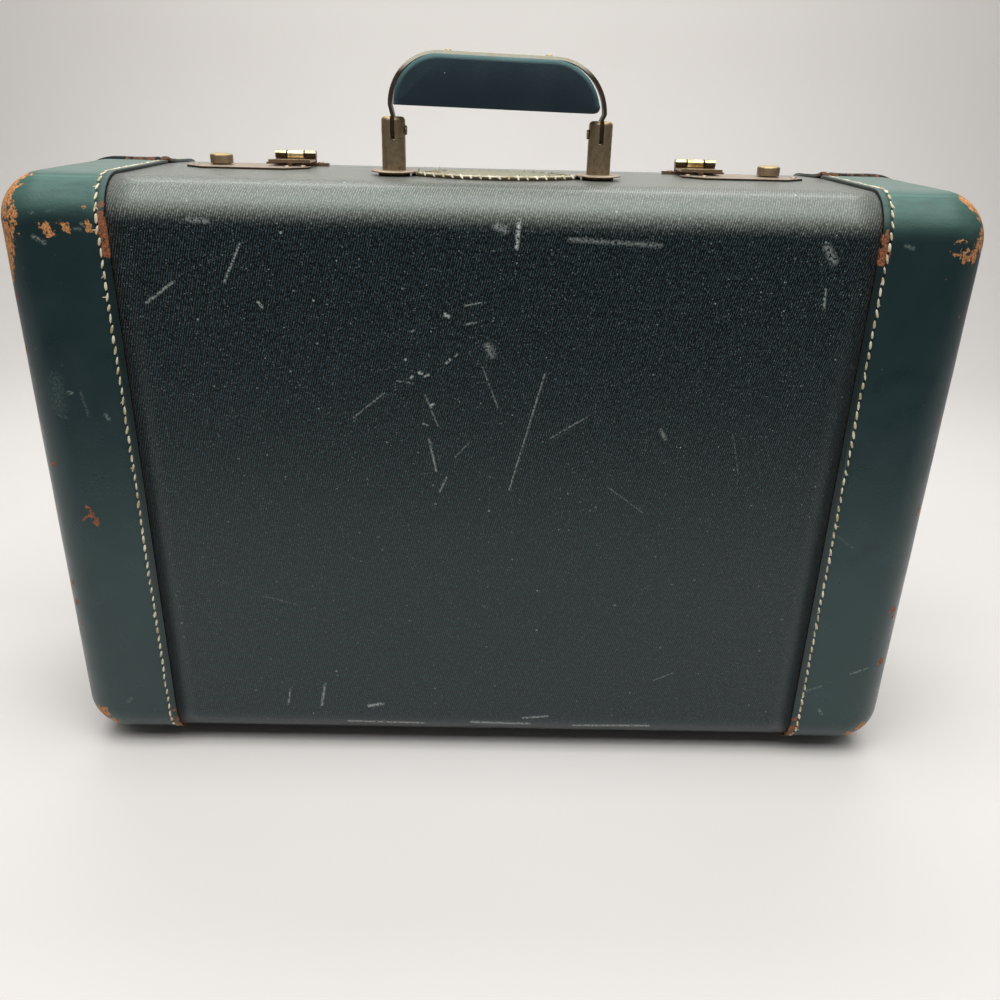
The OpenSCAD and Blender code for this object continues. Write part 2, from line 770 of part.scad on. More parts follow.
module hasp_plate(side) {
    color(bright_brass) at_latch(side) difference() {
        union() {
            on_lid_top() linear_extrude(hasp_base_t) {
                translate([-hasp_w / 2, hasp_base_y]) square([hasp_w, hasp_base_d]);
                for (s = [-1, 1]) translate([s * hasp_lobe_x, hasp_lobe_y]) circle(hasp_lobe_r);
            }
            for (s = [-1, 1]) handed(s) {
                knuckle_in = hasp_knuckle / 2 + run;
                translate([0, hasp_axis_back, hasp_axis_h]) bore_x(hasp_barrel_r, knuckle_in, hasp_w / 2);
                translate([knuckle_in, hasp_axis_back, hasp_base_t / 2])
                    cube([hasp_w / 2 - knuckle_in, hasp_neck, hasp_axis_h - hasp_base_t / 2]);
            }
        }
        translate([0, hasp_axis_back, hasp_axis_h]) bore_x(hasp_pin_d / 2 + fit, -hasp_w, hasp_w);
        on_lid_top() for (s = [-1, 1])
            translate([s * hasp_lobe_x, hasp_lobe_y, hasp_base_t]) nail_hole(hasp_base_t);
    }
}

module hasp_plate_nails() {
    color(aged_brass) hasp_plate_nail_places() nail(hasp_base_t);
}

module hasp_pins() {
    color(aged_brass) for (side = [-1, 1]) at_latch(side)
        translate([0, hasp_axis_back, hasp_axis_h]) bore_x(hasp_pin_d / 2, -hasp_w / 2, hasp_w / 2);
}

module hasp(side) {
    leaf_front = hasp_axis_back - hasp_l;
    leaf_back = hasp_axis_back - hasp_barrel_r - 2 * run;
    color(bright_brass) at_latch(side) difference() {
        union() {
            translate([-hasp_w / 2, leaf_front, hasp_lift]) cube([hasp_w, leaf_back - leaf_front, hasp_t]);
            translate([-hasp_w / 2, leaf_front, hasp_lift]) cube([hasp_w, lip_l, lip_h]);
            translate([-hasp_knuckle / 2, leaf_back - 1, hasp_lift])
                cube([hasp_knuckle, hasp_axis_back - leaf_back + 1, hasp_t]);
            translate([-hasp_knuckle / 2, hasp_axis_back - hasp_neck, hasp_lift])
                cube([hasp_knuckle, hasp_neck, hasp_axis_h - hasp_lift]);
            translate([0, hasp_axis_back, hasp_axis_h])
                bore_x(hasp_barrel_r, -hasp_knuckle / 2, hasp_knuckle / 2);
            translate([-staple_half_w, -lock_back - staple_half_l, staple_tip_h])
                cube([2 * staple_half_w, 2 * staple_half_l, hasp_lift - staple_tip_h + hasp_t / 2]);
        }
        translate([0, hasp_axis_back, hasp_axis_h]) bore_x(hasp_pin_d / 2 + fit, -hasp_w, hasp_w);
        translate([0, -lock_back, nose_h]) bore_x(eye_d / 2, -2 * staple_half_w, 2 * staple_half_w);
    }
}

// Lid half
module lid_shell() {
    color(plywood) difference() {
        lid_tray(-wall_t, 0);
        hasp_plate_nail_places() nail_hole(hasp_base_t);
        lid_hinge_nail_places() nail_hole(hinge_t);
        foot_nail_holes(lid_foot_v, 1);
    }
}

module lid_cloth() {
    color(cloth_green) difference() {
        between_x(-seam_x, seam_x) lid_tray(glue_t, cloth_t);
        hasp_plate_nail_places() nail_hole(hasp_base_t);
        lid_hinge_nail_places() nail_hole(hinge_t);
    }
}

module lid_leather(side) {
    color(leather_green) difference() {
        leather_end(side) lid_tray(glue_t, leather_t);
        foot_nail_holes(lid_foot_v, 1);
    }
}

module lid_lining() {
    color(lining_tan) lid_tray(-wall_t - lining_t, -wall_t - glue_t, tongue_h + lining_step);
}

module lid_feet() {
    color(aged_brass) for (side = [-1, 1])
        translate([side * foot_x, split_y + lid_foot_v, 0]) foot(lid_foot_v);
}

// Hinges
module hinge_leaf_plate() {
    translate([-hinge_w / 2, -hinge_d, -hinge_t]) cube([hinge_w, hinge_d - hinge_cut, hinge_t]);
}

module hinge_knuckle_piece(from_x, to_x) {
    difference() {
        union() {
            translate([0, 0, hinge_axis_h]) bore_x(hinge_barrel_r, from_x, to_x);
            translate([from_x, -hinge_cut - hinge_neck, hinge_axis_h])
                cube([to_x - from_x, hinge_cut + hinge_neck, hinge_barrel_r - hinge_sink]);
        }
        translate([0, 0, hinge_axis_h]) bore_x(hinge_pin_d / 2 + fit, from_x - 1, to_x + 1);
    }
}

module body_hinge_leaf(side) {
    color(aged_brass) at_hinge(side) {
        difference() {
            hinge_leaf_plate();
            for (p = hinge_nails) translate([p[0], -p[1], -hinge_t]) rotate([180, 0, 0]) nail_hole(hinge_t);
        }
        for (s = [-1, 1]) handed(s) hinge_knuckle_piece(hinge_knuckle / 2 + run, hinge_w / 2);
    }
}

module lid_hinge_leaf(side) {
    color(aged_brass) at_hinge(side) {
        on_lid_bottom() difference() {
            mirror([0, 1, 0]) hinge_leaf_plate();
            for (p = hinge_nails) translate([p[0], p[1], -hinge_t]) rotate([180, 0, 0]) nail_hole(hinge_t);
        }
        mirror([0, 1, 0]) hinge_knuckle_piece(-hinge_knuckle / 2, hinge_knuckle / 2);
    }
}

module body_hinge_nails() {
    color(aged_brass) body_hinge_nail_places() nail(hinge_t);
}

module lid_hinge_nails() {
    color(aged_brass) lid_hinge_nail_places() nail(hinge_t);
}

module hinge_pins() {
    color(aged_brass) for (side = [-1, 1]) at_hinge(side)
        translate([0, 0, hinge_axis_h]) bore_x(hinge_pin_d / 2, -hinge_w / 2, hinge_w / 2);
}

body_shell();
body_cloth();
body_leather(-1);  // body_leather_left
body_leather(1);  // body_leather_right
body_lining();
body_tongue();
body_feet();
handle_pad();
rosette(-1);  // rosette_left
rosette(1);  // rosette_right
handle_post(-1);  // handle_post_left
handle_post(1);  // handle_post_right
handle_washers();
handle_pivot_pins();
lock_plate(-1);  // lock_plate_left
lock_plate(1);  // lock_plate_right
lock_plate_nails();
lock_case(-1);  // lock_case_left
lock_case(1);  // lock_case_right
lock_spring(-1);  // lock_spring_left
lock_spring(1);  // lock_spring_right
body_hinge_leaf(-1);  // body_hinge_leaf_left
body_hinge_leaf(1);  // body_hinge_leaf_right
body_hinge_nails();
hinge_pins();
lid_shell();
lid_cloth();
lid_leather(-1);  // lid_leather_left
lid_leather(1);  // lid_leather_right
lid_lining();
lid_feet();
lid_hinge_leaf(-1);  // lid_hinge_leaf_left
lid_hinge_leaf(1);  // lid_hinge_leaf_right
lid_hinge_nails();
hasp_plate(-1);  // hasp_plate_left
hasp_plate(1);  // hasp_plate_right
hasp_plate_nails();
hasp_pins();
hasp(-1);  // hasp_left
hasp(1);  // hasp_right
slide_knob(-1);  // slide_knob_left
slide_knob(1);  // slide_knob_right
lock_bolt(-1);  // lock_bolt_left
lock_bolt(1);  // lock_bolt_right
handle_band();
handle_grip();
grip_rivets();
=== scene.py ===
import json
import math
import random

import bmesh
import bpy
from mathutils import Matrix, Vector, kdtree, noise

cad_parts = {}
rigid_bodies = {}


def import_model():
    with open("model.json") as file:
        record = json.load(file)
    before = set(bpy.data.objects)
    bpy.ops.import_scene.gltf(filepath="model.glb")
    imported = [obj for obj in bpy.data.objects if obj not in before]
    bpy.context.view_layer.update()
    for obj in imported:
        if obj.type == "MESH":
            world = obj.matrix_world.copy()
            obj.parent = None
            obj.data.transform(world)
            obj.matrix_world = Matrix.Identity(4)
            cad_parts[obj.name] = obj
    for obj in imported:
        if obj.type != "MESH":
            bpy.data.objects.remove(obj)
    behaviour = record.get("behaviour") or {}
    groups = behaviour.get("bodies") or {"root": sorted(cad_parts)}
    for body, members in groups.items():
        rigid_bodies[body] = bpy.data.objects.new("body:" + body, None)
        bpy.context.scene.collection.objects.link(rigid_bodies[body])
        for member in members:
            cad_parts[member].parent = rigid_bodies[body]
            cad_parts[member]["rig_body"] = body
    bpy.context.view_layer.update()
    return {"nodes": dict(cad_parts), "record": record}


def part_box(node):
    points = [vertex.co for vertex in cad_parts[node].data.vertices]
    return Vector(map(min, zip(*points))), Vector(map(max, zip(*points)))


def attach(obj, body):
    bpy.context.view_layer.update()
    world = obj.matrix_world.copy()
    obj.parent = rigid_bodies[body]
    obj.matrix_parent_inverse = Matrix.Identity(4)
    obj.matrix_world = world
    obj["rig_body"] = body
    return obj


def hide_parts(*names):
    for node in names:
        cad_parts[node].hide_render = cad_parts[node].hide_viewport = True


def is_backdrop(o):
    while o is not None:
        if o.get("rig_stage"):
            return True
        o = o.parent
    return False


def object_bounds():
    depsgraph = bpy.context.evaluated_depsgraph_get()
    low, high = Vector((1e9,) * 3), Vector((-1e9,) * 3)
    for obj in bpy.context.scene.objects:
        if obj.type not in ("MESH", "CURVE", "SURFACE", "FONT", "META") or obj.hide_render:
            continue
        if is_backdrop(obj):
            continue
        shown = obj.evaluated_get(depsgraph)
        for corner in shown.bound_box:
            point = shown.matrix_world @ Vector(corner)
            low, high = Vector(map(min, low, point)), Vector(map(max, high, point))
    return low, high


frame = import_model()
nodes = frame["nodes"]
scene = bpy.context.scene
MM = 0.001


# Plywood trays: two trays of thin birch ply, steamed round the corners, and the
# thin ply strip round the body's opening that guides the lid. They show only when
# the case is open, as bare rims.
def linear(code):
    values = [int(code[i:i + 2], 16) / 255 for i in (1, 3, 5)]
    return [v / 12.92 if v <= 0.04045 else ((v + 0.055) / 1.055) ** 2.4 for v in values] + [1.0]


def fill(node, inputs):
    """Fills a node's sockets with values, colour codes, or links from a socket or a node's first
    output in use."""
    for key, value in inputs.items():
        if isinstance(value, bpy.types.Node):
            value = next(socket for socket in value.outputs if socket.enabled)
        elif isinstance(value, str):
            value = linear(value)
        if isinstance(value, bpy.types.NodeSocket):
            node.id_data.links.new(value, node.inputs[key])
        else:
            node.inputs[key].default_value = value


def add(tree, kind, inputs, **settings):
    """Adds a shader node, sets its properties and fills its sockets."""
    node = tree.nodes.new("ShaderNode" + kind)
    for name, value in settings.items():
        setattr(node, name, value)
    fill(node, inputs)
    return node


def new_material(name):
    """A material, with its nodes, its shader and the outputs of its texture coordinates."""
    material = bpy.data.materials.new(name)
    material.use_nodes = True
    tree = material.node_tree
    return material, tree, tree.nodes["Principled BSDF"], add(tree, "TexCoord", {}).outputs


def dress(names, material):
    for name in names:
        nodes[name].data.materials.clear()
        nodes[name].data.materials.append(material)


# Settings that many shader nodes share. Of the numbered sockets, 0 takes what a node works on or a Mix's
# share. A Mix has numbers at 2 and 3 and colours at 6 and 7. A MapRange goes from 1 and 2 to 3 and 4.
RGBA = {"data_type": "RGBA"}
MINUS = {"operation": "SUBTRACT"}
TIMES = {"operation": "MULTIPLY"}
TIMES_PLUS = {"operation": "MULTIPLY_ADD"}
IN_PLANE = {"noise_dimensions": "2D"}
SMOOTH = {"interpolation_type": "SMOOTHSTEP"}
# A wave texture's scale for one band a metre.
ONE_BAND = 0.1 * math.pi

# Birch plywood, sanded: pale, with grain lines about 2 mm apart along the width.
birch, tree, shader, place = new_material("birch_plywood")
long_grain = add(tree, "Mapping", {0: place["Object"], "Scale": (12, 500, 500)})
grain = add(tree, "TexNoise", {0: long_grain, "Scale": 1, "Detail": 6})
tint = add(tree, "Mix", {0: grain, 6: "#8a6a42", 7: "#c4a06c"}, **RGBA)
lift = add(tree, "Bump", {"Height": grain, "Strength": 0.2, "Distance": 0.2 * MM})
fill(shader, {"Base Color": tint, "Normal": lift, "Roughness": 0.6})
dress(["body_shell", "lid_shell", "body_tongue"], birch)


# Linings: tan cloth on paper, cut to the trays with the corners left out, and glued in.
# One skin for each half, made like the coverings outside.
shell_low, shell_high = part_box("body_shell")
lid_low, lid_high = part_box("lid_shell")
split_y = (lid_low.y + shell_high.y) / 2
mid_z = (shell_low.z + shell_high.z) / 2
edge_r = 22 * MM
lid_slope = math.tan(math.radians(2.5))
arc_steps = 14
tiny = 0.01 * MM
x_axis = Vector((1, 0, 0))
halves = {
    "body": {"on": "case", "side": -1, "depth": split_y - shell_low.y, "slope": 0.0},
    "lid": {"on": "lid", "side": 1, "depth": lid_high.y - split_y, "slope": lid_slope},
}
corner_r = edge_r + (halves["lid"]["depth"] - edge_r) * lid_slope + 1 * MM
span_x = shell_high.x - corner_r
span_z = shell_high.z - mid_z - corner_r
top_z = mid_z + span_z
low_z = mid_z - span_z


def wall_section(half, outset, start, step):
    """Points down a wall from the opening, round its edge and onto the face, each as its
    distance out from the corner's centre and its distance from the opening."""
    centre_v = half["depth"] - edge_r
    radius = edge_r + outset
    centre_u = corner_r - centre_v * half["slope"] - edge_r
    count = max(1, round((centre_v - start) / step))
    points = []
    for i in range(count):
        v = start + (centre_v - start) * i / count
        points.append((corner_r + outset - v * half["slope"], v))
    for i in range(arc_steps + 1):
        a = math.pi / 2 * i / arc_steps
        points.append((centre_u + radius * math.cos(a), centre_v + radius * math.sin(a)))
    points.append((0.0, half["depth"] + outset))
    return points


def path_length(points):
    """How far along a path each of its points lies."""
    run = [0.0]
    for a, b in zip(points, points[1:]):
        run.append(run[-1] + math.dist(a, b))
    return run


def draw_out(bm, line, move):
    """Extrudes a line of edges by one step and gives the new line."""
    made = bmesh.ops.extrude_edge_only(bm, edges=line)["geom"]
    verts = {g for g in made if isinstance(g, bmesh.types.BMVert)}
    bmesh.ops.translate(bm, vec=move, verts=list(verts))
    return [g for g in made if isinstance(g, bmesh.types.BMEdge) and set(g.verts) <= verts]


def draw_along(bm, line, stops, axis):
    """Extrudes a line of edges from stop to stop along an axis and gives the last line."""
    for a, b in zip(stops, stops[1:]):
        line = draw_out(bm, line, axis * (b - a))
    return line


def turn_corner(bm, line, x, z):
    """Spins a line of edges round an upright corner of the outline and gives the new line."""
    verts = list({v for e in line for v in e.verts})
    made = bmesh.ops.spin(
        bm, geom=verts + line, cent=(x, 0, z), axis=(0, 1, 0), angle=math.pi / 2, steps=arc_steps)
    return [g for g in made["geom_last"] if isinstance(g, bmesh.types.BMEdge)]


def steps_between(start, end, step):
    count = max(1, round(abs(end - start) / step))
    return [start + (end - start) * i / count for i in range(count + 1)]


def end_skin(half, outset, start, across, step):
    """Half of a tray-shaped skin, from a cut at the first of the across values to the far wall."""
    bm = bmesh.new()
    section = wall_section(half, outset, start, step)
    verts = [bm.verts.new((across[0], split_y + half["side"] * v, top_z + u)) for u, v in section]
    line = [bm.edges.new(pair) for pair in zip(verts, verts[1:])]
    line = draw_along(bm, line, across, x_axis)
    line = turn_corner(bm, line, span_x, top_z)
    line = draw_along(bm, line, steps_between(top_z, low_z, step), Vector((0, 0, 1)))
    line = turn_corner(bm, line, span_x, low_z)
    draw_along(bm, line, across[::-1], x_axis)
    face_y = split_y + half["side"] * (half["depth"] + outset)
    inner = []
    for edge in bm.edges:
        if all(abs(v.co.x - span_x) < tiny and abs(v.co.y - face_y) < tiny for v in edge.verts):
            if abs(edge.verts[0].co.z - edge.verts[1].co.z) > tiny:
                inner.append(edge)
    draw_along(bm, inner, across[::-1], x_axis)
    bmesh.ops.remove_doubles(bm, verts=bm.verts, dist=tiny)
    return bm


def face_out(bm, half):
    """Points a skin's faces outwards, told by the faces on the case's big side."""
    bmesh.ops.recalc_face_normals(bm, faces=bm.faces)
    lean = sum(f.normal.y * f.calc_area() for f in bm.faces)
    if lean * half["side"] < 0:
        bmesh.ops.reverse_faces(bm, faces=bm.faces)


def new_object(bm, name, material):
    """Makes a smooth-shaded object of a bmesh, in its place."""
    mesh = bpy.data.meshes.new(name)
    bm.to_mesh(mesh)
    bm.free()
    mesh.shade_smooth()
    mesh.materials.append(material)
    made = bpy.data.objects.new(name, mesh)
    scene.collection.objects.link(made)
    return made


def finished(bm, name, material, body, replaced):
    """Makes a piece of a bmesh and ties it to the frame."""
    piece = new_object(bm, name, material)
    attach(piece, body)
    if replaced:
        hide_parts(*replaced)
    return piece


def thicken(piece, thickness):
    """Gives a skin its thickness inwards."""
    wall = piece.modifiers.new("thickness", "SOLIDIFY")
    wall.thickness = thickness
    wall.offset = -1


# Plain-woven cotton in tan, threads 0.6 mm apart drawn at 1.2 mm so that they show.
thread_pitch = 1.2 * MM
lining_cotton, tree, shader, place = new_material("tan_cotton_lining")
mottle = add(tree, "TexNoise", {0: place["Object"], "Scale": 18, "Detail": 5})
tint = add(tree, "Mix", {0: mottle, 6: "#a08a64", 7: "#c9b48c"}, **RGBA)
weave = {0: place["Object"], "Scale": ONE_BAND / thread_pitch, "Distortion": 0.6}
threads = [add(tree, "TexWave", weave, bands_direction=axis).outputs["Fac"] for axis in "XZ"]
cross = add(tree, "Math", {0: threads[0], 1: threads[1]}, operation="ADD")
lift = add(tree, "Bump", {"Height": cross, "Strength": 0.3, "Distance": 0.2 * MM})
fill(shader, {"Base Color": tint, "Normal": lift, "Roughness": 0.85})

# Each lining starts this far down from its opening, clear of the tongue.
lining_starts = {"body": 12.5 * MM, "lid": 5.5 * MM}
lining_inset = -5.1 * MM
lining_t = 0.7 * MM
lining_step = 12 * MM
for key, half in halves.items():
    start = lining_starts[key]
    bm = end_skin(half, lining_inset, start, steps_between(0, span_x, lining_step), lining_step)
    geom = list(bm.verts) + list(bm.edges) + list(bm.faces)
    bmesh.ops.mirror(bm, geom=geom, axis="X", merge_dist=tiny)
    bmesh.ops.remove_doubles(bm, verts=bm.verts, dist=tiny)
    face_out(bm, half)
    cut_area = sum(f.calc_area() for f in bm.faces)
    piece = finished(
        bm, key + "_lining_cotton", lining_cotton, half["on"], [key + "_lining"])
    thicken(piece, lining_t)


# Cloth panels: dark green twill, coated and glued over the middle of each half, round
# its edges from opening to opening. It lies about 1.7 mm lower than the leather ends.
seam_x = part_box("body_cloth")[1].x
cloth_t = 0.7 * MM
open_v = (lid_low.y - shell_high.y) / 2


def panel_path(half, outset, start, step):
    """The line that a panel follows, as (y, z) from the opening on top to the one below."""
    section = wall_section(half, outset, start, step)
    upper = [(split_y + half["side"] * v, top_z + u) for u, v in section]
    lower = [(split_y + half["side"] * v, low_z - u) for u, v in reversed(section)]
    face_y = upper[-1][0]
    face = [(face_y, z) for z in steps_between(upper[-1][1], lower[0][1], step)]
    return upper + face[1:-1] + lower


# A scratch or smear: how near a point of the cloth is to a line from A to B, from 1 on
# the line to 0 at its width.
scratch = bpy.data.node_groups.new("chalky_scratch", "ShaderNodeTree")
for name, kind in (("Point", "Vector"), ("A", "Vector"), ("B", "Vector"), ("Width", "Float")):
    scratch.interface.new_socket(name, in_out="INPUT", socket_type="NodeSocket" + kind)
scratch.interface.new_socket("Mask", in_out="OUTPUT", socket_type="NodeSocketFloat")
given = scratch.nodes.new("NodeGroupInput").outputs
from_a = add(scratch, "VectorMath", {0: given["Point"], 1: given["A"]}, **MINUS)
line_ab = add(scratch, "VectorMath", {0: given["B"], 1: given["A"]}, **MINUS)
along = add(scratch, "VectorMath", {0: from_a, 1: line_ab}, operation="DOT_PRODUCT")
square = add(scratch, "VectorMath", {0: line_ab, 1: line_ab}, operation="DOT_PRODUCT")
share = add(scratch, "Math", {0: along, 1: square}, operation="DIVIDE", use_clamp=True)
nearest = add(scratch, "VectorMath", {0: line_ab, "Scale": share}, operation="SCALE")
gap = add(scratch, "VectorMath", {0: from_a, 1: nearest}, operation="DISTANCE")
mask = add(scratch, "MapRange", {0: gap, 2: given["Width"], 3: 1, 4: 0})
fill(scratch.nodes.new("NodeGroupOutput"), {"Mask": mask})

# Where the scratches lie on the body's face, as (x, z) of both ends, a width in mm, and how
# strongly they show.
face_scratches = [
    (13, 346, 12, 332, 1.5, 1), (30, 264, 12, 193, 0.7, 0.45), (-134, 331, -144, 311, 0.9, 0.6),
    (-172, 310, -187, 299, 1.1, 0.6), (-35, 224, -31, 204, 0.9, 0.5), (-29, 191, -25, 200, 0.9, 0.5),
    (40, 337, 88, 335, 1.8, 0.35), (179, 314, 180, 303, 1, 0.6), (-104, 53, -107, 36, 1.1, 0.6),
    (-76, 36, -67, 38, 1.5, 0.7), (26, 28, 42, 30, 1.3, 0.55), (55, 239, 35, 226, 0.7, 0.4),
    (-60, 251, -78, 236, 0.7, 0.4), (-127, 48, -129, 36, 0.8, 0.5), (-2, 279, 0, 274, 3.4, 0.35),
    (176, 336, 181, 329, 3.2, 0.4), (1, 343, 6, 341, 2.8, 0.45), (-30, 232, -37, 250, 0.7, 0.35),
    (70, 196, 92, 180, 0.6, 0.2), (-53, 258, -44, 257, 0.7, 0.45), (-160, 343, -150, 342, 1.8, 0.4),
    (110, 60, 122, 66, 0.6, 0.25), (-140, 118, -118, 112, 0.5, 0.2), (140, 230, 146, 206, 0.5, 0.2),
    (-20, 213, -12, 222, 0.6, 0.3), (98, 232, 101, 227, 1.6, 0.4), (-8, 23, 30, 22, 1.8, 0.75),
    (60, 21, 110, 22, 1.6, 0.7), (-90, 22, -40, 21, 1.5, 0.65), (-15, 301, -6, 303, 0.7, 0.5),
    (-26, 296, -24, 295, 1.4, 1), (-40, 263, -39, 263, 1.4, 1), (-45, 260, -44, 261, 1, 0.8),
    (-37, 261, -35, 262, 1, 0.8), (-25, 269, -23, 271, 1, 0.9), (-20, 273, -19, 274, 0.8, 0.7),
    (-34, 244, -32, 245, 0.9, 0.8), (-38, 233, -36, 232, 0.9, 0.7), (-14, 291, -9, 292, 0.8, 0.5),
    (-5, 267, 4, 244, 0.6, 0.4), (-127, 301, -125, 298, 1, 0.9), (-45, 286, -43, 287, 0.8, 0.5),
]

# Coated twill: nearly black green, with slanting ribs 1.25 mm apart that the weft breaks into short
# dashes, a painted grey sheen where it faces up, chalky specks and scratches of long use.
rib_period = 1.25 * MM
panel_step = 6 * MM
# The run along the body's cloth at which its face would come to the floor's height.
run_to_face = path_length(wall_section(halves["body"], cloth_t, open_v, panel_step))[-1]
face_zero = run_to_face + top_z
# Fields of specks: their spacing, how rare they are, their size as a share of the spacing, and how
# strongly they show.
cloth_specks = ((6 * MM, 0.8, 0.075, 0.9), (16 * MM, 0.72, 0.05, 1.0), (1.6 * MM, 0.5, 0.24, 0.4))
# How far the ragged edge of a scratch strays.
stray_by = 1.2 * MM
twill, tree, shader, place = new_material("coated_green_twill")
flat = add(tree, "UVMap", {})
slubs = add(tree, "Mapping", {0: flat, "Scale": (60, 900, 1)})
weft = add(tree, "TexNoise", {0: slubs, "Scale": 1, "Detail": 3}, **IN_PLANE)
ribs = add(tree, "Mapping", {0: flat, "Rotation": (0, 0, math.radians(-14))})
warp = add(tree, "TexWave", {
    0: ribs, "Scale": ONE_BAND / rib_period, "Distortion": 1.2, "Detail Scale": 900}, bands_direction="X")
dashes = add(tree, "Mapping", {0: flat, "Scale": (1100, 620, 1)})
picks = add(tree, "TexNoise", {0: dashes, "Scale": 1}, **IN_PLANE)
pick_light = add(tree, "MapRange", {0: picks, 1: 0.36, 2: 0.64})
laid = add(tree, "Mix", {0: 0.3, 2: pick_light, 3: weft})
threads = add(tree, "Mix", {0: 0.45, 2: warp.outputs["Fac"], 3: laid})
cloud = add(tree, "TexNoise", {0: flat, "Scale": 14, "Detail": 6, "Roughness": 0.6}, **IN_PLANE)
ground = add(tree, "Mix", {0: cloud, 6: "#020608", 7: "#060c0f"}, **RGBA)
down = add(tree, "SeparateXYZ", {0: flat}).outputs
crisp = add(tree, "MapRange", {
    0: down["Y"], 1: face_zero - 300 * MM, 2: face_zero - 130 * MM, 3: 1, 4: 0.5})
drawn = add(tree, "MapRange", {0: threads, 1: 0.56, 2: 0.84})
thread_tint = add(tree, "Mix", {0: crisp, 2: 0.22, 3: drawn})
woven = add(tree, "Mix", {0: thread_tint, 6: ground, 7: "#3f5056"}, **RGBA)
# Painted sheen: faces that turn up, most of all the threads that stand proud, are mixed towards pale
# grey.
upright = add(tree, "SeparateXYZ", {0: place["Normal"]}).outputs
proud = add(tree, "Math", {0: drawn, 1: 0.7, 2: 0.85}, **TIMES_PLUS)
raised = add(tree, "Math", {0: proud, 1: upright["Z"]}, **TIMES)
upward = add(tree, "MapRange", {0: raised, 1: -0.01, 2: 0.5}, **SMOOTH)
# Painted highlight: a thin pale line where a rounded edge has turned about 26 degrees from level,
# standing in for a lamp's reflection.
painted_lamp_line = add(tree, "Math", {0: upright["Z"], 1: 0.9, 2: 0.016}, operation="COMPARE")
sheen_share = add(tree, "Math", {0: painted_lamp_line, 1: 0.25, 2: drawn}, operation="MULTIPLY_ADD", use_clamp=True)
top_sheen_tint = add(tree, "Mix", {0: sheen_share, 6: "#616760", 7: "#92938a"}, **RGBA)
sheen_and_specks = add(tree, "Mix", {0: upward, 6: woven, 7: top_sheen_tint}, **RGBA)
for spacing, rare, size, strength in cloth_specks:
    field = add(tree, "TexVoronoi", {0: flat, "Scale": 1 / spacing}, voronoi_dimensions="2D")
    pick = add(tree, "SeparateColor", {0: field.outputs["Color"]}).outputs
    reach = add(tree, "MapRange", {0: pick[0], 1: rare, 4: size})
    speck = add(tree, "Math", {0: field, 1: reach}, operation="LESS_THAN")
    faint = add(tree, "Math", {0: pick[1], 1: crisp}, **TIMES)
    shown = add(tree, "Math", {0: speck, 1: strength}, **TIMES)
    weight = add(tree, "Math", {0: shown, 1: faint}, **TIMES)
    sheen_and_specks = add(tree, "Mix", {0: weight, 6: sheen_and_specks, 7: "#a9b3ae"}, **RGBA)
ragged = add(tree, "TexNoise", {0: flat, "Scale": 700, "Detail": 3}, **IN_PLANE)
wander = add(tree, "VectorMath", {
    0: ragged.outputs["Color"], 1: (stray_by, stray_by, 0), 2: flat}, **TIMES_PLUS)
marks = 0.0
for xa, za, xb, zb, width, strength in face_scratches:
    mark = add(tree, "Group", {
        "Point": wander, "A": (xa * MM, face_zero - za * MM, 0), "B": (xb * MM, face_zero - zb * MM, 0),
        "Width": width * MM}, node_tree=scratch)
    faded = add(tree, "Math", {0: mark, 1: strength}, **TIMES)
    marks = add(tree, "Math", {0: marks, 1: faded}, operation="MAXIMUM")
broken = add(tree, "MapRange", {0: ragged, 1: 0.36, 2: 0.55})
worn = add(tree, "Math", {0: marks, 1: broken}, **TIMES)
scratched = add(tree, "Mix", {0: worn, 6: sheen_and_specks, 7: "#c6cfca"}, **RGBA)
lift = add(tree, "Bump", {"Height": threads, "Strength": 0.35, "Distance": 0.3 * MM})
fill(shader, {
    "Base Color": scratched, "Normal": lift, "Roughness": 0.3, "Specular IOR Level": 0.46,
    "Specular Tint": "#f0ffff", "Sheen Weight": 0.15, "Sheen Roughness": 0.35})

# The two panels are cut from the same roll, the lid's a metre further along, past the body's scratches.
panel_across = 14 * MM
sheet_t = 0.6 * MM
ripple = 0.12 * MM
for key, half in halves.items():
    along_roll = 1.0 if key == "lid" else 0.0
    path = panel_path(half, cloth_t, open_v, panel_step)
    run = path_length(path)
    bm = bmesh.new()
    measure = bm.verts.layers.float.new("run")
    verts = [bm.verts.new((-seam_x, y, z)) for y, z in path]
    line = [bm.edges.new(pair) for pair in zip(verts, verts[1:])]
    for vert, length in zip(verts, run):
        vert[measure] = length
    draw_along(bm, line, steps_between(-seam_x, seam_x, panel_across), x_axis)
    face_out(bm, half)
    uv = bm.loops.layers.uv.new("UVMap")
    for face in bm.faces:
        for loop in face.loops:
            loop[uv].uv = (loop.vert.co.x + along_roll, loop.vert[measure])
    bm.normal_update()
    for vert in bm.verts:
        vert.co += vert.normal * ripple * noise.noise(vert.co * 22)
    piece = finished(bm, key + "_twill", twill, half["on"], [key + "_cloth"])
    thicken(piece, sheet_t)


# Leather ends: smooth green cowhide, one piece for each end of each half, wetted, pulled
# over the corners, glued, and stitched down 5 mm in from its edge. Use has rubbed the
# finish off the corners, the edges and the ends of the seams, down to the raw tan hide.
leather_t = 2.4 * MM
hide_t = 2.2 * MM
hide_step = 2.6 * MM
stitch_in = 4.8 * MM
stitch_length = 5.8 * MM
cut_edge_w = 0.75 * MM
seam_reach = 9 * MM
seam_steps = [
    0, 0.7, 1.8, 2.9, 3.8, 4.4, 4.8, 5.2, 5.8, 6.8, 8.2, 10.5, 13.2, 16, 19, 22, 25, 28, 31, 33.6,
]

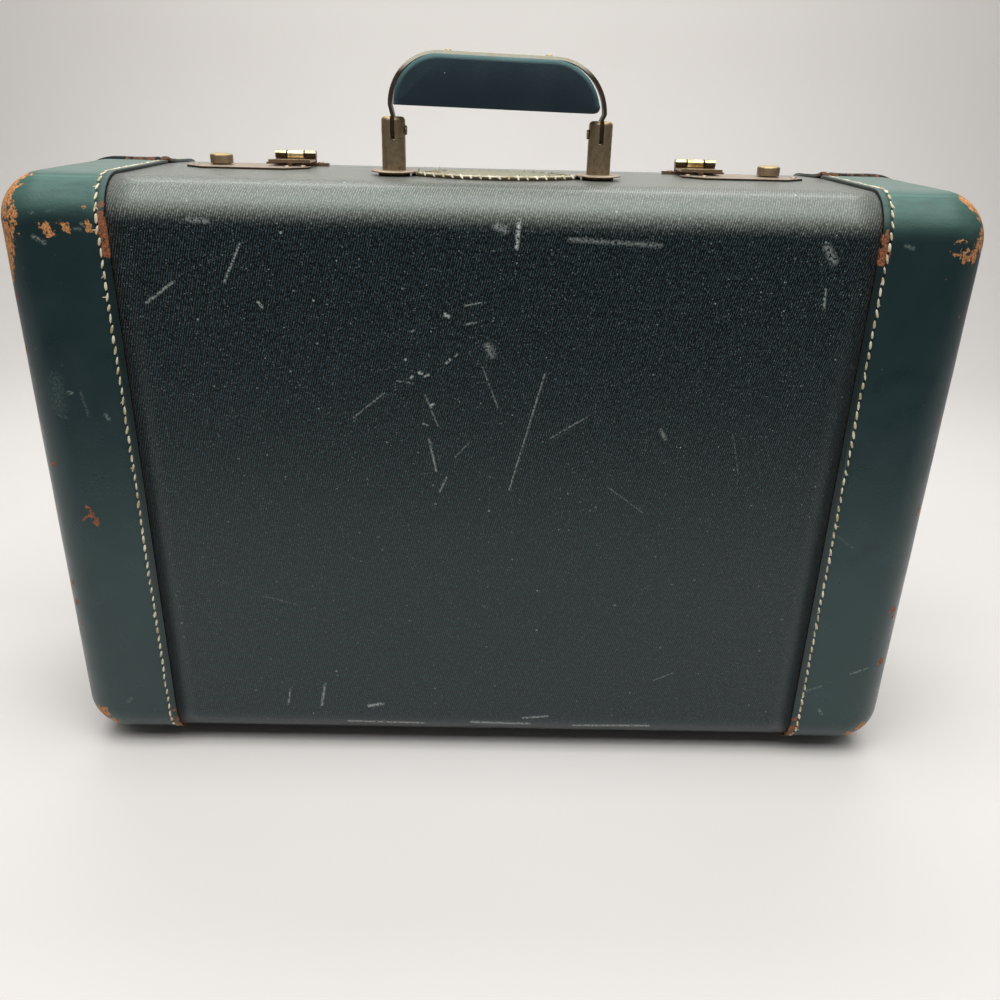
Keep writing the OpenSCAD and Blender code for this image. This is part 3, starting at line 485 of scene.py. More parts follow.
# Rubbed places, in mm: x, y, z and radius. At the corners the raw hide is fresh and orange; along
# the seams, the opening and the edges it has browned.
rubbed_corners = [
    (-251, -73, 361, 10), (-255, -76, 357, 13), (-255.5, -79, 351, 12), (-258, -81, 345, 8.5),
    (-252, -84, 342.5, 9.5), (-257, -83, 336, 11), (-259.5, -82, 329, 10.5), (-260.5, -82, 322, 9.5),
    (-261, -82, 316, 8), (-262, -81, 310, 5.5), (-234, -90, 338, 6.2), (-232, -90, 334, 3.6),
    (-224, -90, 339, 5.6), (-223, -90, 336, 3.8), (-239, -90, 332, 2), (-212, -90, 339, 5.2),
    (-213, -89, 349, 4), (-253, -86, 27, 8.5), (-247, -84, 19, 8), (-240, -86, 15, 4), (250, -75, 362, 8),
    (254, -76, 358.5, 9), (258, -75, 354, 8), (261, -75, 350, 6), (244, -88, 334.7, 5.6),
    (249, -87, 333.6, 6.6), (254.5, -84.5, 333.8, 7), (257.5, -82, 338.6, 6.4), (258, -81, 343, 5.5),
    (244.5, -88, 341.7, 4.4), (252, -86, 25, 8.5), (246, -84, 18, 7.5), (-256, 80, 352, 10),
    (256, 80, 350, 11), (-254, 81, 22, 11), (255, 80, 24, 10), (262, -60, 15, 8), (-262, -58, 16, 8),
]
browned_places = [
    (-205, -89, 350, 4), (-205, -90, 345, 5.5), (-204.5, -90, 340, 6.5), (-205, -90, 335, 6.5),
    (-205, -90, 330, 6), (-204.5, -90, 326, 4.5), (205, -90, 344, 4.5), (205, -90, 339, 6.5),
    (205.5, -90, 334, 6), (204.5, -90, 330, 4.5), (-205, -89, 32, 4), (-205, -87, 25, 6),
    (-205, -84, 18, 8), (-204, -78, 12, 6), (205, -89, 32, 5), (206, -87, 25, 7.5), (206, -84, 17, 8),
    (205, -78, 12, 6), (-239, -90, 183, 2.2), (-238.5, -90, 178, 3.6), (-237, -90, 172, 5),
    (-234, -90, 167.5, 4.6), (-241, -90, 170, 2.6), (-256, -85, 224, 4), (-257, -85, 203, 3.4),
    (-261, -81, 270, 4), (-262, -79, 300, 4.4), (-258, -84, 124, 3.2), (-258, -84, 109, 3.6),
    (-258, -84, 94, 3.2), (256, -85, 115, 5.2), (258, -84, 110, 4.4), (256, -85, 77, 5.2),
    (258, -84, 183, 3.6), (259, -83, 240, 3.4), (-205, 88, 338, 4), (205, 87, 24, 5), (-205, 86, 20, 5),
    (205, 88, 340, 4), (-263, 60, 352, 5), (263, 58, 20, 6), (-206, 22, 367, 8), (-213, 22, 367, 7),
    (-220, 22, 367, 6.5), (-228, 22, 367, 5), (-236, 22, 367, 3), (206, 22, 367, 8), (214, 22, 367, 7),
    (222, 22, 367, 6), (230, 22, 367, 6), (238, 22, 367, 5), (246, 22, 367, 4), (-206, 21, 9, 6),
    (207, 22, 9, 6),
]

# Chalky marks on the body's leather, as (x, z) of both ends, a width in mm, and how strongly they show.
hide_marks = [
    (-243, 256, -244, 240, 6, 0.16), (-250, 237, -240, 234, 0.8, 0.5), (-230, 249, -228, 236, 0.8, 0.4),
    (-241, 346, -239, 346, 1.2, 0.8), (-232, 347, -227, 348, 1.2, 0.8), (-241, 334, -236, 331, 1.3, 0.8),
    (-215, 341, -214, 340, 1.1, 0.7), (-219, 338, -216, 338, 1, 0.6), (-237, 249, -235, 249, 1.1, 0.9),
    (-218, 236, -217, 234, 1.4, 0.6), (237, 70, 253, 77, 0.8, 0.8), (208, 55, 219, 60, 0.7, 0.6),
    (210, 169, 221, 161, 0.6, 0.35), (254, 172, 253, 169, 1, 0.6), (251, 156, 252, 148, 0.8, 0.5),
    (217, 339, 221, 338, 1.2, 0.6), (221, 41, 223, 38, 1.3, 0.6), (-234, 38, -231, 41, 1, 0.5),
]
# A dark bruise on the right end, given in the same way.
bruise = (222, 151, 235, 162, 5.0, 0.75)
# What is written on the points of the leather for its material to read.
wear_notes = ("rubbed", "browned", "turned_edge", "edge_tint_and_light", "stitch_phase", "seam_gap")


def seam_path(half):
    """The line of a seam's stitches, and the length of one stitch on it."""
    path = panel_path(half, leather_t - 0.25 * MM, open_v + 1.5 * MM, 3 * MM)
    length = path_length(path)[-1]
    return path, length / round(length / stitch_length)


def seam_height(d):
    """How far the leather stands off at a distance from its stitched edge."""
    swell = 0.25 * MM * math.exp(-((d - 2.2 * MM) / (1.6 * MM)) ** 2)
    groove = 0.45 * MM * math.exp(-((d - stitch_in) / (0.7 * MM)) ** 2)
    return swell - groove


def dyed_hide(name, deep, light, faded, flat_top_tint, edge_tone_and_light, roughness, marks):
    """Finished cowhide: dyed, with a film of finish, faint pores 1.1 mm apart, faded and painted lighter
    where it faces up, with a painted highlight line round its edges, raw hide where it is rubbed, an edge
    tint that is partly painted light, and painted shade in the needle holes along the seam."""
    material, tree, shader, place = new_material(name)
    spot = place["Object"]
    cloudy = add(tree, "TexNoise", {0: spot, "Scale": 15, "Detail": 7, "Roughness": 0.6})
    dyed = add(tree, "Mix", {0: cloudy, 6: deep, 7: light}, **RGBA)
    upright = add(tree, "SeparateXYZ", {0: place["Normal"]}).outputs
    # Faded finish together with painted light from above: faces that turn up are mixed towards the faded
    # colour.
    upward = add(tree, "MapRange", {0: upright["Z"], 1: -0.06, 2: 0.62}, **SMOOTH)
    scuffs = add(tree, "Mapping", {0: spot, "Scale": (45, 260, 260)})
    streaks = add(tree, "TexNoise", {0: scuffs, "Scale": 1, "Detail": 6, "Roughness": 0.65})
    # Painted highlight: a thin pale line where a rounded edge has turned about 26 degrees from level,
    # added to the streaks.
    painted_lamp_line = add(tree, "Math", {0: upright["Z"], 1: 0.9, 2: 0.016}, operation="COMPARE")
    bright = add(tree, "Math", {0: painted_lamp_line, 1: 0.3, 2: streaks}, **TIMES_PLUS)
    streaks_and_lamp_line = add(tree, "MapRange", {0: bright, 1: 0.3, 2: 0.8, 3: 0.72, 4: 1.4})
    faded_lit_tint = add(tree, "VectorMath", {0: linear(faded)[:3], "Scale": streaks_and_lamp_line}, operation="SCALE")
    faded_and_lit = add(tree, "Mix", {0: upward, 6: dyed, 7: faded_lit_tint}, **RGBA)
    # A paler tint on flat tops.
    level = add(tree, "MapRange", {0: upright["Z"], 1: 0.93, 2: 0.995, 4: 0.5})
    marked = add(tree, "Mix", {0: level, 6: faded_and_lit, 7: flat_top_tint}, **RGBA)
    ragged = add(tree, "TexNoise", {0: spot, "Scale": 330, "Detail": 5, "Roughness": 0.65})
    broad = add(tree, "TexNoise", {0: spot, "Scale": 55, "Detail": 4})
    wander = add(tree, "VectorMath", {
        0: ragged.outputs["Color"], 1: (stray_by, stray_by, stray_by), 2: spot}, **TIMES_PLUS)
    fibres = add(tree, "TexNoise", {0: spot, "Scale": 800, "Detail": 4, "Roughness": 0.7})
    broken = add(tree, "MapRange", {0: fibres, 1: 0.44, 2: 0.56})
    for (xa, za, xb, zb, width, strength), colour in marks:
        mark = add(tree, "Group", {
            "Point": wander, "A": (xa * MM, hide_face_y, za * MM), "B": (xb * MM, hide_face_y, zb * MM),
            "Width": (width + 0.5) * MM}, node_tree=scratch)
        shown = add(tree, "Math", {0: mark, 1: broken}, **TIMES)
        faint = add(tree, "Math", {0: shown, 1: strength}, **TIMES)
        marked = add(tree, "Mix", {0: faint, 6: marked, 7: colour}, **RGBA)
    field = add(tree, "TexVoronoi", {0: spot, "Scale": 1 / (7 * MM)})
    pick = add(tree, "SeparateColor", {0: field.outputs["Color"]}).outputs
    reach = add(tree, "MapRange", {0: pick[0], 1: 0.72, 4: 0.09})
    speck = add(tree, "Math", {0: field, 1: reach}, operation="LESS_THAN")
    flecks = add(tree, "Math", {0: speck, 1: pick[1]}, **TIMES)
    dusty = add(tree, "Mix", {0: flecks, 6: marked, 7: "#9aa6a0"}, **RGBA)
    noted = {}
    for name in wear_notes:
        noted[name] = add(tree, "Attribute", {}, attribute_name=name).outputs["Fac"]
    # Edge tint: on the leather ends, dark edge paint together with the painted shade of the gap by the
    # cloth; on the grip, a painted rim highlight; on the pad, its raw brown edge.
    edged = add(tree, "Mix", {0: noted["edge_tint_and_light"], 6: dusty, 7: edge_tone_and_light}, **RGBA)
    scuff = add(tree, "Math", {0: noted["turned_edge"], 1: broad}, **TIMES)
    wear = add(tree, "Math", {0: scuff, 1: 0.22, 2: noted["rubbed"]}, **TIMES_PLUS)
    torn = add(tree, "Math", {0: ragged, 1: 2.2, 2: wear}, **TIMES_PLUS)
    raw = add(tree, "MapRange", {0: torn, 1: 1.6, 2: 1.68})
    mottled = add(tree, "MapRange", {0: fibres, 1: 0.36, 2: 0.62})
    fresh = add(tree, "Mix", {0: mottled, 6: "#7c4220", 7: "#e0a062"}, **RGBA)
    old = add(tree, "Mix", {0: mottled, 6: "#4a2314", 7: "#b06a40"}, **RGBA)
    hide_tint = add(tree, "Mix", {0: noted["browned"], 6: fresh, 7: old}, **RGBA)
    # Raw hide on faces that turn up is greyed: fading together with painted light from above.
    raw_faded_and_lit = add(tree, "Math", {0: upward, 1: noted["browned"]}, **TIMES)
    raw_tint = add(tree, "Mix", {0: raw_faded_and_lit, 6: hide_tint, 7: "#6f5a4c"}, **RGBA)
    bared = add(tree, "Mix", {0: raw, 6: edged, 7: raw_tint}, **RGBA)
    fold = add(tree, "Math", {0: noted["stitch_phase"], 1: 0.5}, operation="PINGPONG")
    along = add(tree, "Math", {0: fold, 1: stitch_length / MM}, **TIMES)
    aside = add(tree, "Math", {0: noted["seam_gap"], 1: stitch_in / MM}, **MINUS)
    apart = add(tree, "CombineXYZ", {0: along, 1: aside})
    far = add(tree, "VectorMath", {0: apart}, operation="LENGTH")
    # Painted shade: the needle holes along the seam are darkened to near black.
    needle_hole_shade = add(tree, "MapRange", {0: far, 1: 0.6, 3: 0.9, 4: 0})
    hole_shaded = add(tree, "Mix", {0: needle_hole_shade, 6: bared, 7: "#100c0a"}, **RGBA)
    gloss = add(tree, "MapRange", {0: broad, 1: 0.3, 2: 0.7, 3: roughness - 0.05, 4: roughness + 0.08})
    weary = add(tree, "Math", {0: upward, 1: 0.22, 2: gloss}, **TIMES_PLUS)
    dull_and_shade = add(tree, "Mix", {0: raw, 2: weary, 3: 0.9})
    pores = add(tree, "TexVoronoi", {0: spot, "Scale": 1 / (1.1 * MM)})
    torn_down = add(tree, "Math", {0: raw, 1: -1.5, 2: pores}, **TIMES_PLUS)
    lift = add(tree, "Bump", {"Height": torn_down, "Strength": 0.22, "Distance": 0.25 * MM})
    fill(shader, {
        "Base Color": hole_shaded, "Normal": lift, "Roughness": dull_and_shade, "Specular IOR Level": 0.6,
        "Specular Tint": "#e4ffff"})
    return material


hide_face_y = split_y - halves["body"]["depth"] - leather_t
coloured_marks = [(mark, "#9fb0aa") for mark in hide_marks] + [(bruise, "#0a1414")]
# The faded colour is partly fading and partly painted light on faces that turn up; the near-black edge
# colour is dark edge paint together with the painted shade of the gap along the seams.
green_hide = dyed_hide(
    "green_cowhide", "#162529", "#1f3436", "#3b5a50", "#7c8881", "#0b0a0a", 0.3, coloured_marks)


def note(piece, name, values):
    """Writes a value on each of a piece's points."""
    piece.data.attributes.new(name, "FLOAT", "POINT").data.foreach_set("value", values)


def note_wear(piece, half, side):
    """Writes on a leather end's points how rubbed they are and where they lie by the seam."""
    path, pitch = seam_path(half)
    run = path_length(path)
    finder = kdtree.KDTree(len(path))
    for i, (y, z) in enumerate(path):
        finder.insert((0, y, z), i)
    finder.balance()
    places = []
    for brown, spots in enumerate((rubbed_corners, browned_places)):
        for x, y, z, radius in spots:
            if x * side > 0 and (y * MM - split_y) * half["side"] > 0:
                places.append((Vector((x, y, z)) * MM, radius * MM, brown))
    rows = []
    for vert in piece.data.vertices:
        co = vert.co
        rub, brown = max(
            ((1 - (co - centre).length / radius, brown) for centre, radius, brown in places),
            default=(0, 0))
        gap = abs(co.x) - seam_x
        opening = abs(co.y - split_y) - open_v
        turn = min(abs(vert.normal.x), max(abs(vert.normal.y), abs(vert.normal.z)))
        # Cut edges take the whole edge tint, dark edge paint together with the painted shade of the gap
        # by the cloth; the strip outside the stitches takes 0.4 of it.
        margin = 0.4 if gap < stitch_in - 0.6 * MM else 0.0
        edge_tone_and_light = max(margin, 1 - min(gap, opening) / cut_edge_w)
        phase = 0.0
        if gap < seam_reach:
            _, i, _ = finder.find((0, co.y, co.z))
            a = max(i - 1, 0)
            b = min(i + 1, len(path) - 1)
            step = Vector(path[b]) - Vector(path[a])
            off = co.yz - Vector(path[i])
            phase = (run[i] + off.dot(step.normalized())) / pitch
        rows.append((max(rub, 0), brown, min(turn / 0.5, 1), edge_tone_and_light, phase, gap / MM))
    for name, values in zip(wear_notes, zip(*rows)):
        note(piece, name, values)


def round_off(piece, width, segments, angle):
    """Rounds a piece's edges that turn by more than an angle in degrees."""
    edge = piece.modifiers.new("rounded_edge", "BEVEL")
    edge.width = width
    edge.segments = segments
    edge.limit_method = "ANGLE"
    edge.angle_limit = math.radians(angle)
    return edge


def lid_curl(co, gap, opening):
    """How far the lid's leather has curled up along the opening on top, less towards the corners."""
    on_top = max(0, min(1, (co.z - top_z) / (20 * MM)))
    inward = max(0, min(1, (span_x + 12 * MM - co.x) / (14 * MM)))
    frayed = 0.75 + 0.25 * math.exp(-gap / (14 * MM)) + 0.2 * noise.noise(co * 90)
    return 2.3 * MM * math.exp(-opening / (8 * MM)) * frayed * on_top * inward


for key, half in halves.items():
    for side_name, side in (("left", -1), ("right", 1)):
        across = [seam_x + s * MM for s in seam_steps] + [span_x]
        bm = end_skin(half, leather_t, open_v, across, hide_step)
        face_out(bm, half)
        bm.normal_update()
        for vert in bm.verts:
            gap = vert.co.x - seam_x
            opening = abs(vert.co.y - split_y) - open_v
            curl = lid_curl(vert.co, gap, opening) if key == "lid" else 0.0
            uneven = 0.15 * MM * noise.noise(vert.co * 30 + Vector((side * 7, 0, 0)))
            vert.co += vert.normal * (seam_height(gap) + curl + uneven)
        if side < 0:
            bmesh.ops.scale(bm, vec=(-1, 1, 1), verts=bm.verts)
            face_out(bm, half)
        name = f"{key}_leather_{side_name}"
        piece = finished(bm, name + "_hide", green_hide, half["on"], [name])
        note_wear(piece, half, side)
        thicken(piece, hide_t)
        round_off(piece, 0.5 * MM, 3, 50)


# Seam stitches: waxed cream linen thread, sewn by machine through leather, cloth and
# ply, about 5.8 mm a stitch, each lying a little aslant between its two holes.
linen, tree, shader, place = new_material("waxed_linen_thread")
grime = add(tree, "TexNoise", {0: place["Object"], "Scale": 210, "Detail": 4})
grime_and_shade = add(tree, "MapRange", {0: grime, 1: 0.35, 2: 0.65})
tint = add(tree, "Mix", {0: grime_and_shade, 6: "#aa9c74", 7: "#efe7cf"}, **RGBA)
twist = add(tree, "TexWave", {
    0: place["Object"], "Scale": ONE_BAND / (0.7 * MM), "Distortion": 1}, bands_direction="DIAGONAL")
lift = add(tree, "Bump", {"Height": twist.outputs["Fac"], "Strength": 0.4, "Distance": 0.15 * MM})
fill(shader, {"Base Color": tint, "Normal": lift, "Roughness": 0.75})


def lay_stitch(bm, middle, along, out, length, thread):
    """One stitch: a spindle of thread, half sunk where it goes through the leather."""
    aside = along.cross(out).normalized()
    turn = Matrix((along, aside, out)).transposed().to_4x4()
    size = Matrix.Diagonal((length / 2, thread / 2, thread * 0.38, 1))
    bmesh.ops.create_uvsphere(
        bm, u_segments=8, v_segments=6, radius=1,
        matrix=Matrix.Translation(middle) @ turn @ size @ Matrix.Rotation(math.pi / 2, 4, "Y"))


laid_length = 5.1 * MM
thread_w = 1.6 * MM
fray_w = 0.8 * MM
frayed_below = 32 * MM
rng = random.Random(11)
for key, half in halves.items():
    path, pitch = seam_path(half)
    run = path_length(path)
    bm = bmesh.new()
    for side in (-1, 1):
        k = 0
        for n in range(round(run[-1] / pitch)):
            s = (n + 0.5) * pitch
            while run[k + 1] < s:
                k += 1
            a, b = Vector((0, *path[k])), Vector((0, *path[k + 1]))
            along = (b - a).normalized()
            middle = a.lerp(b, (s - run[k]) / (run[k + 1] - run[k]))
            out = x_axis.cross(along)
            if out.dot(middle - Vector((0, split_y, mid_z))) < 0:
                out = -out
            middle.x = side * (seam_x + stitch_in + rng.uniform(-0.3, 0.3) * MM)
            along = Matrix.Rotation(side * math.radians(rng.uniform(2, 22)), 3, out) @ along
            length = laid_length * rng.uniform(0.8, 1.1)
            lay_stitch(bm, middle, along, out, length, thread_w * rng.uniform(0.75, 1.2))
            if rng.random() < (0.7 if middle.z < frayed_below else 0.16):
                stray = Matrix.Rotation(math.radians(rng.uniform(-75, 75)), 3, out) @ along
                length = rng.uniform(2.5, 4.5) * MM
                lay_stitch(bm, middle + stray * 1.2 * MM, stray, out, length, fray_w)
    finished(bm, key + "_seam_stitches", linen, half["on"], [])


# Feet, hinges, posts and locks: brass, stamped or turned, brown and pitted with age, rubbed paler on
# top with a painted reflection there, and painted shade along their feet; the hasps are rubbed bright.
# Their edges are softened by wear.
cloth_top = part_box("body_cloth")[1].z
aged_brass, tree, shader, place = new_material("aged_brass")
patina = add(tree, "TexNoise", {0: place["Object"], "Scale": 380, "Detail": 6, "Roughness": 0.65})
tint = add(tree, "Mix", {0: patina, 6: "#4a3a2b", 7: "#c0aa8a"}, **RGBA)
facing = add(tree, "SeparateXYZ", {0: place["Normal"]}).outputs
# Paler where they face up: rubbed gold on the raised knobs and posts, and a painted pale reflection of
# the surroundings on the low pieces.
upward = add(tree, "MapRange", {0: facing["Z"], 1: 0.35, 2: 0.95, 4: 0.75})
height = add(tree, "SeparateXYZ", {0: place["Object"]}).outputs
raised = add(tree, "MapRange", {0: height["Z"], 1: cloth_top + 4 * MM, 2: cloth_top + 5 * MM})
rubbed_and_reflected_tint = add(tree, "Mix", {0: raised, 6: "#b8a899", 7: "#cdb981"}, **RGBA)
rubbed_and_lit_tops = add(tree, "Mix", {0: upward, 6: tint, 7: rubbed_and_reflected_tint}, **RGBA)
# Painted shade: the sides of the pieces within 1.5 mm of the cloth are darkened, standing in for the
# contact shadow under their edges.
foot = add(tree, "MapRange", {
    0: height["Z"], 1: cloth_top + 0.7 * MM, 2: cloth_top + 1.5 * MM, 3: 0.85, 4: 0})
sideways = add(tree, "MapRange", {0: facing["Z"], 1: 0.3, 2: 0.8, 3: 1, 4: 0})
grime_and_shade = add(tree, "Math", {0: foot, 1: sideways}, **TIMES)
gap_shaded = add(tree, "Mix", {0: grime_and_shade, 6: rubbed_and_lit_tops, 7: "#1c1512"}, **RGBA)
rough = add(tree, "MapRange", {0: patina, 1: 0.3, 2: 0.7, 3: 0.55, 4: 0.36})
lift = add(tree, "Bump", {"Height": patina, "Strength": 0.3, "Distance": 0.2 * MM})
fill(shader, {"Base Color": gap_shaded, "Normal": lift, "Roughness": rough, "Metallic": 0.75})

# Brass rubbed bright on a hasp's barrel, browned on its leaf, with painted shade on the outer knuckles'
# lower halves and in the barrel's two splits.
hasp_low, hasp_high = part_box("hasp_right")
hasp_x = (hasp_low.x + hasp_high.x) / 2
half_knuckle = 5.35 * MM
bright_brass, tree, shader, place = new_material("rubbed_brass")
patina = add(tree, "TexNoise", {0: place["Object"], "Scale": 260, "Detail": 5})
tarnish = add(tree, "MapRange", {0: patina, 1: 0.36, 2: 0.56})
tint = add(tree, "Mix", {0: tarnish, 6: "#a8945c", 7: "#f1e6b6"}, **RGBA)
height = add(tree, "SeparateXYZ", {0: place["Object"]}).outputs
low = add(tree, "MapRange", {
    0: height["Z"], 1: cloth_top + 4.5 * MM, 2: cloth_top + 5.0 * MM, 3: 1, 4: 0})
browned = add(tree, "Mix", {0: low, 6: tint, 7: "#967e68"}, **RGBA)
across = add(tree, "Math", {0: height["X"]}, operation="ABSOLUTE")
aside = add(tree, "Math", {0: across, 1: hasp_x}, **MINUS)
from_middle = add(tree, "Math", {0: aside}, operation="ABSOLUTE")
from_split = add(tree, "Math", {0: from_middle, 1: half_knuckle}, **MINUS)
near_split = add(tree, "Math", {0: from_split}, operation="ABSOLUTE")
# Painted shade: a dark band in the barrel's two splits.
split_shade = add(tree, "MapRange", {0: near_split, 1: 0.35 * MM, 2: 0.6 * MM, 3: 1, 4: 0})
outer = add(tree, "MapRange", {0: from_split, 2: 0.2 * MM})
# Painted shade: the outer knuckles are darkened where they face down.
facing = add(tree, "SeparateXYZ", {0: place["Normal"]}).outputs
under = add(tree, "MapRange", {0: facing["Z"], 1: 0.25, 2: 0.6, 3: 0.92, 4: 0.2})
dull_and_shade = add(tree, "Math", {0: outer, 1: under}, **TIMES)
raised = add(tree, "Math", {0: 1.0, 1: low}, **MINUS)
dark = add(tree, "Math", {0: dull_and_shade, 1: raised}, **TIMES)
lower_shaded = add(tree, "Mix", {0: dark, 6: browned, 7: "#352715"}, **RGBA)
gap_shaded = add(tree, "Math", {0: split_shade, 1: raised}, **TIMES)
split = add(tree, "Mix", {0: gap_shaded, 6: lower_shaded, 7: "#1a1209"}, **RGBA)
lift = add(tree, "Bump", {"Height": patina, "Strength": 0.15, "Distance": 0.2 * MM})
fill(shader, {"Base Color": split, "Normal": lift, "Roughness": 0.32, "Metallic": 0.85})

# Plain steel of the locks' cases, bolts and springs and of the washers, with drawn lines.
lock_steel, tree, shader, place = new_material("plain_steel")
brushed = add(tree, "Mapping", {0: place["Object"], "Scale": (60, 2400, 2400)})
lines = add(tree, "TexNoise", {0: brushed, "Scale": 1, "Detail": 3})
tint = add(tree, "Mix", {0: lines, 6: "#6d6d6b", 7: "#a3a3a0"}, **RGBA)
fill(shader, {"Base Color": tint, "Roughness": 0.4, "Metallic": 1})

# The handle's band: brown steel with a brass wash, with a painted cream reflection on the front of its
# upper run; its legs are left dark.
band_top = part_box("handle_band")[1].z
band_steel, tree, shader, place = new_material("brass_washed_steel")
spread = add(tree, "TexNoise", {0: place["Object"], "Scale": 300, "Detail": 5})
brown = add(tree, "Mix", {0: spread, 6: "#1c140f", 7: "#57432f"}, **RGBA)
cream = add(tree, "Mix", {0: spread, 6: "#e2d5b6", 7: "#fff8e8"}, **RGBA)
height = add(tree, "SeparateXYZ", {0: place["Object"]}).outputs
upper = add(tree, "MapRange", {0: height["Z"], 1: band_top - 13 * MM, 2: band_top - 6 * MM}, **SMOOTH)
facing = add(tree, "SeparateXYZ", {0: place["Normal"]}).outputs
# Painted reflection: the front of the upper run is tinted cream.
front = add(tree, "MapRange", {0: facing["Y"], 1: -0.75, 2: -0.35, 3: 1, 4: 0.12})
front_reflection = add(tree, "Math", {0: upper, 1: front}, **TIMES)
tint = add(tree, "Mix", {0: front_reflection, 6: brown, 7: cream}, **RGBA)
lift = add(tree, "Bump", {"Height": spread, "Strength": 0.15, "Distance": 0.2 * MM})
fill(shader, {"Base Color": tint, "Normal": lift, "Roughness": 0.45, "Metallic": 0.15})

finishes = {"aged_brass": aged_brass, "bright_brass": bright_brass, "lock_steel": lock_steel}
# How far the edges are rounded, in mm.
soft_edges = {
    "handle_post": 0.4, "rosette": 0.3, "lock_plate": 0.35, "hasp": 0.55, "hasp_plate": 0.75,
    "slide_knob": 0.45, "handle_band": 0.75, "body_hinge_leaf": 0.3, "lid_hinge_leaf": 0.3,
    "grip_rivets": 0.3, "handle_pivot_pins": 0.3, "lock_plate_nails": 0.25, "hasp_plate_nails": 0.25,
}
pin_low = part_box("handle_pivot_pins")[0]
post_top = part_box("handle_post_left")[1].z
sag_slope = math.tan(math.radians(1.6))


def sagged(co):
    """The handle's band is bent: above the posts it slopes down to the right."""
    share = max(0, min(1, (co.z - post_top) / (8 * MM)))
    return co - Vector((0, 0, share * sag_slope * (co.x - pin_low.x)))


for part in frame["record"]["subparts"]:
    name = part["node"]
    slot = part["material_slot"]
    if slot not in finishes:
        continue
    finish = band_steel if name == "handle_band" else finishes[slot]
    stem = name.removesuffix("_left").removesuffix("_right")
    width = soft_edges.get(name, soft_edges.get(stem))
    if width is None:
        dress([name], finish)
        continue
    bm = bmesh.new()
    bm.from_mesh(nodes[name].data)
    bmesh.ops.remove_doubles(bm, verts=bm.verts, dist=0.002 * MM)
    bmesh.ops.dissolve_limit(bm, angle_limit=math.radians(1), verts=bm.verts, edges=bm.edges)
    if name in ("handle_band", "grip_rivets"):
        for vert in bm.verts:
            vert.co = sagged(vert.co)
    piece = finished(bm, name + "_worn", finish, nodes[name]["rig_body"], [name])
    piece.data.set_sharp_from_angle(angle=math.radians(32))
    round_off(piece, width * MM, 2, 35).harden_normals = True


# Handle grip: a half-moon of leather over a stiff core, with round upper edges, riveted
# under its band. Wear has let it sag a little at one end.
grip_low, grip_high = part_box("handle_grip")
# The grip is painted lighter where it faces up, and its teal edge colour is a painted rim highlight.
grip_hide = dyed_hide(
    "dark_grip_cowhide", "#1b242d", "#222f39", "#2f4c4d", "#37585a", "#3b605e", 0.42, [])
end_r = 26 * MM
toe_r = 4.5 * MM
grip_x = (grip_high.x + grip_low.x) / 2
flat_x = (grip_high.x - grip_low.x) / 2 - end_r


def round_edges(bm, edges, radius, segments):
    bmesh.ops.bevel(
        bm, geom=edges, offset=radius, offset_type="OFFSET", affect="EDGES", segments=segments,
        profile=0.5, material=-1, clamp_overlap=True)


outline = [(-flat_x - end_r, grip_low.z)]
for i in range(17):
    a = math.pi - math.pi / 2 * i / 16
    outline.append((-flat_x + end_r * math.cos(a), grip_high.z - end_r + end_r * math.sin(a)))
outline += [(-x, z) for x, z in reversed(outline) if z > grip_low.z + toe_r]
for i in range(7):
    a = math.pi / 2 * i / 6
    outline.append((flat_x + end_r - toe_r * (1 - math.cos(a)), grip_low.z + toe_r * (1 - math.sin(a))))
bm = bmesh.new()
face = bm.faces.new([bm.verts.new((grip_x + x, grip_low.y, z)) for x, z in outline])
made = bmesh.ops.extrude_face_region(bm, geom=[face])["geom"]
back = [g for g in made if isinstance(g, bmesh.types.BMVert)]
bmesh.ops.translate(bm, vec=(0, grip_high.y - grip_low.y, 0), verts=back)
bmesh.ops.recalc_face_normals(bm, faces=bm.faces)
long_edges = [
    e for e in bm.edges
    if abs(e.verts[0].co.y - e.verts[1].co.y) < tiny and max(v.co.z for v in e.verts) > grip_low.z + tiny
]
round_edges(bm, long_edges, 3.2 * MM, 6)
base = [
    e for e in bm.edges
    if all(abs(v.co.z - grip_low.z) < tiny for v in e.verts)
    and len({round(f.normal.z, 2) for f in e.link_faces}) > 1
]
round_edges(bm, base, 1.8 * MM, 4)
for vert in bm.verts:
    vert.co = sagged(vert.co)
bmesh.ops.triangulate(bm, faces=[f for f in bm.faces if len(f.verts) > 4])
piece = finished(bm, "grip_hide_cover", grip_hide, "handle", ["handle_grip"])
piece.data.set_sharp_from_angle(angle=math.radians(40))
# Painted highlight: the rounded rims, but not those facing down, take the grip's teal edge colour.
painted_rim_highlight = []
for vert in piece.data.vertices:
    turn = min(abs(vert.normal.y), math.hypot(vert.normal.x, vert.normal.z))
    painted_rim_highlight.append(0.0 if vert.normal.z < -0.2 else 0.6 * min(1, 2 * turn * turn))
note(piece, "edge_tint_and_light", painted_rim_highlight)


# Handle pad: a lens of leather, swollen in the middle, overcast along both edges with
# cream thread so that the grip doesn't wear the cloth. Its cut edge shows raw and brown.
pad_low, pad_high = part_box("handle_pad")
pad_y = (pad_low.y + pad_high.y) / 2
pad_half_l = pad_high.x
pad_half_w = (pad_high.y - pad_low.y) / 2
pad_edge_t = 1.2 * MM
plan_r = (pad_half_l ** 2 + pad_half_w ** 2) / (2 * pad_half_w)


def pad_width(x):
    return math.sqrt(max(plan_r ** 2 - x ** 2, 0)) - (plan_r - pad_half_w)


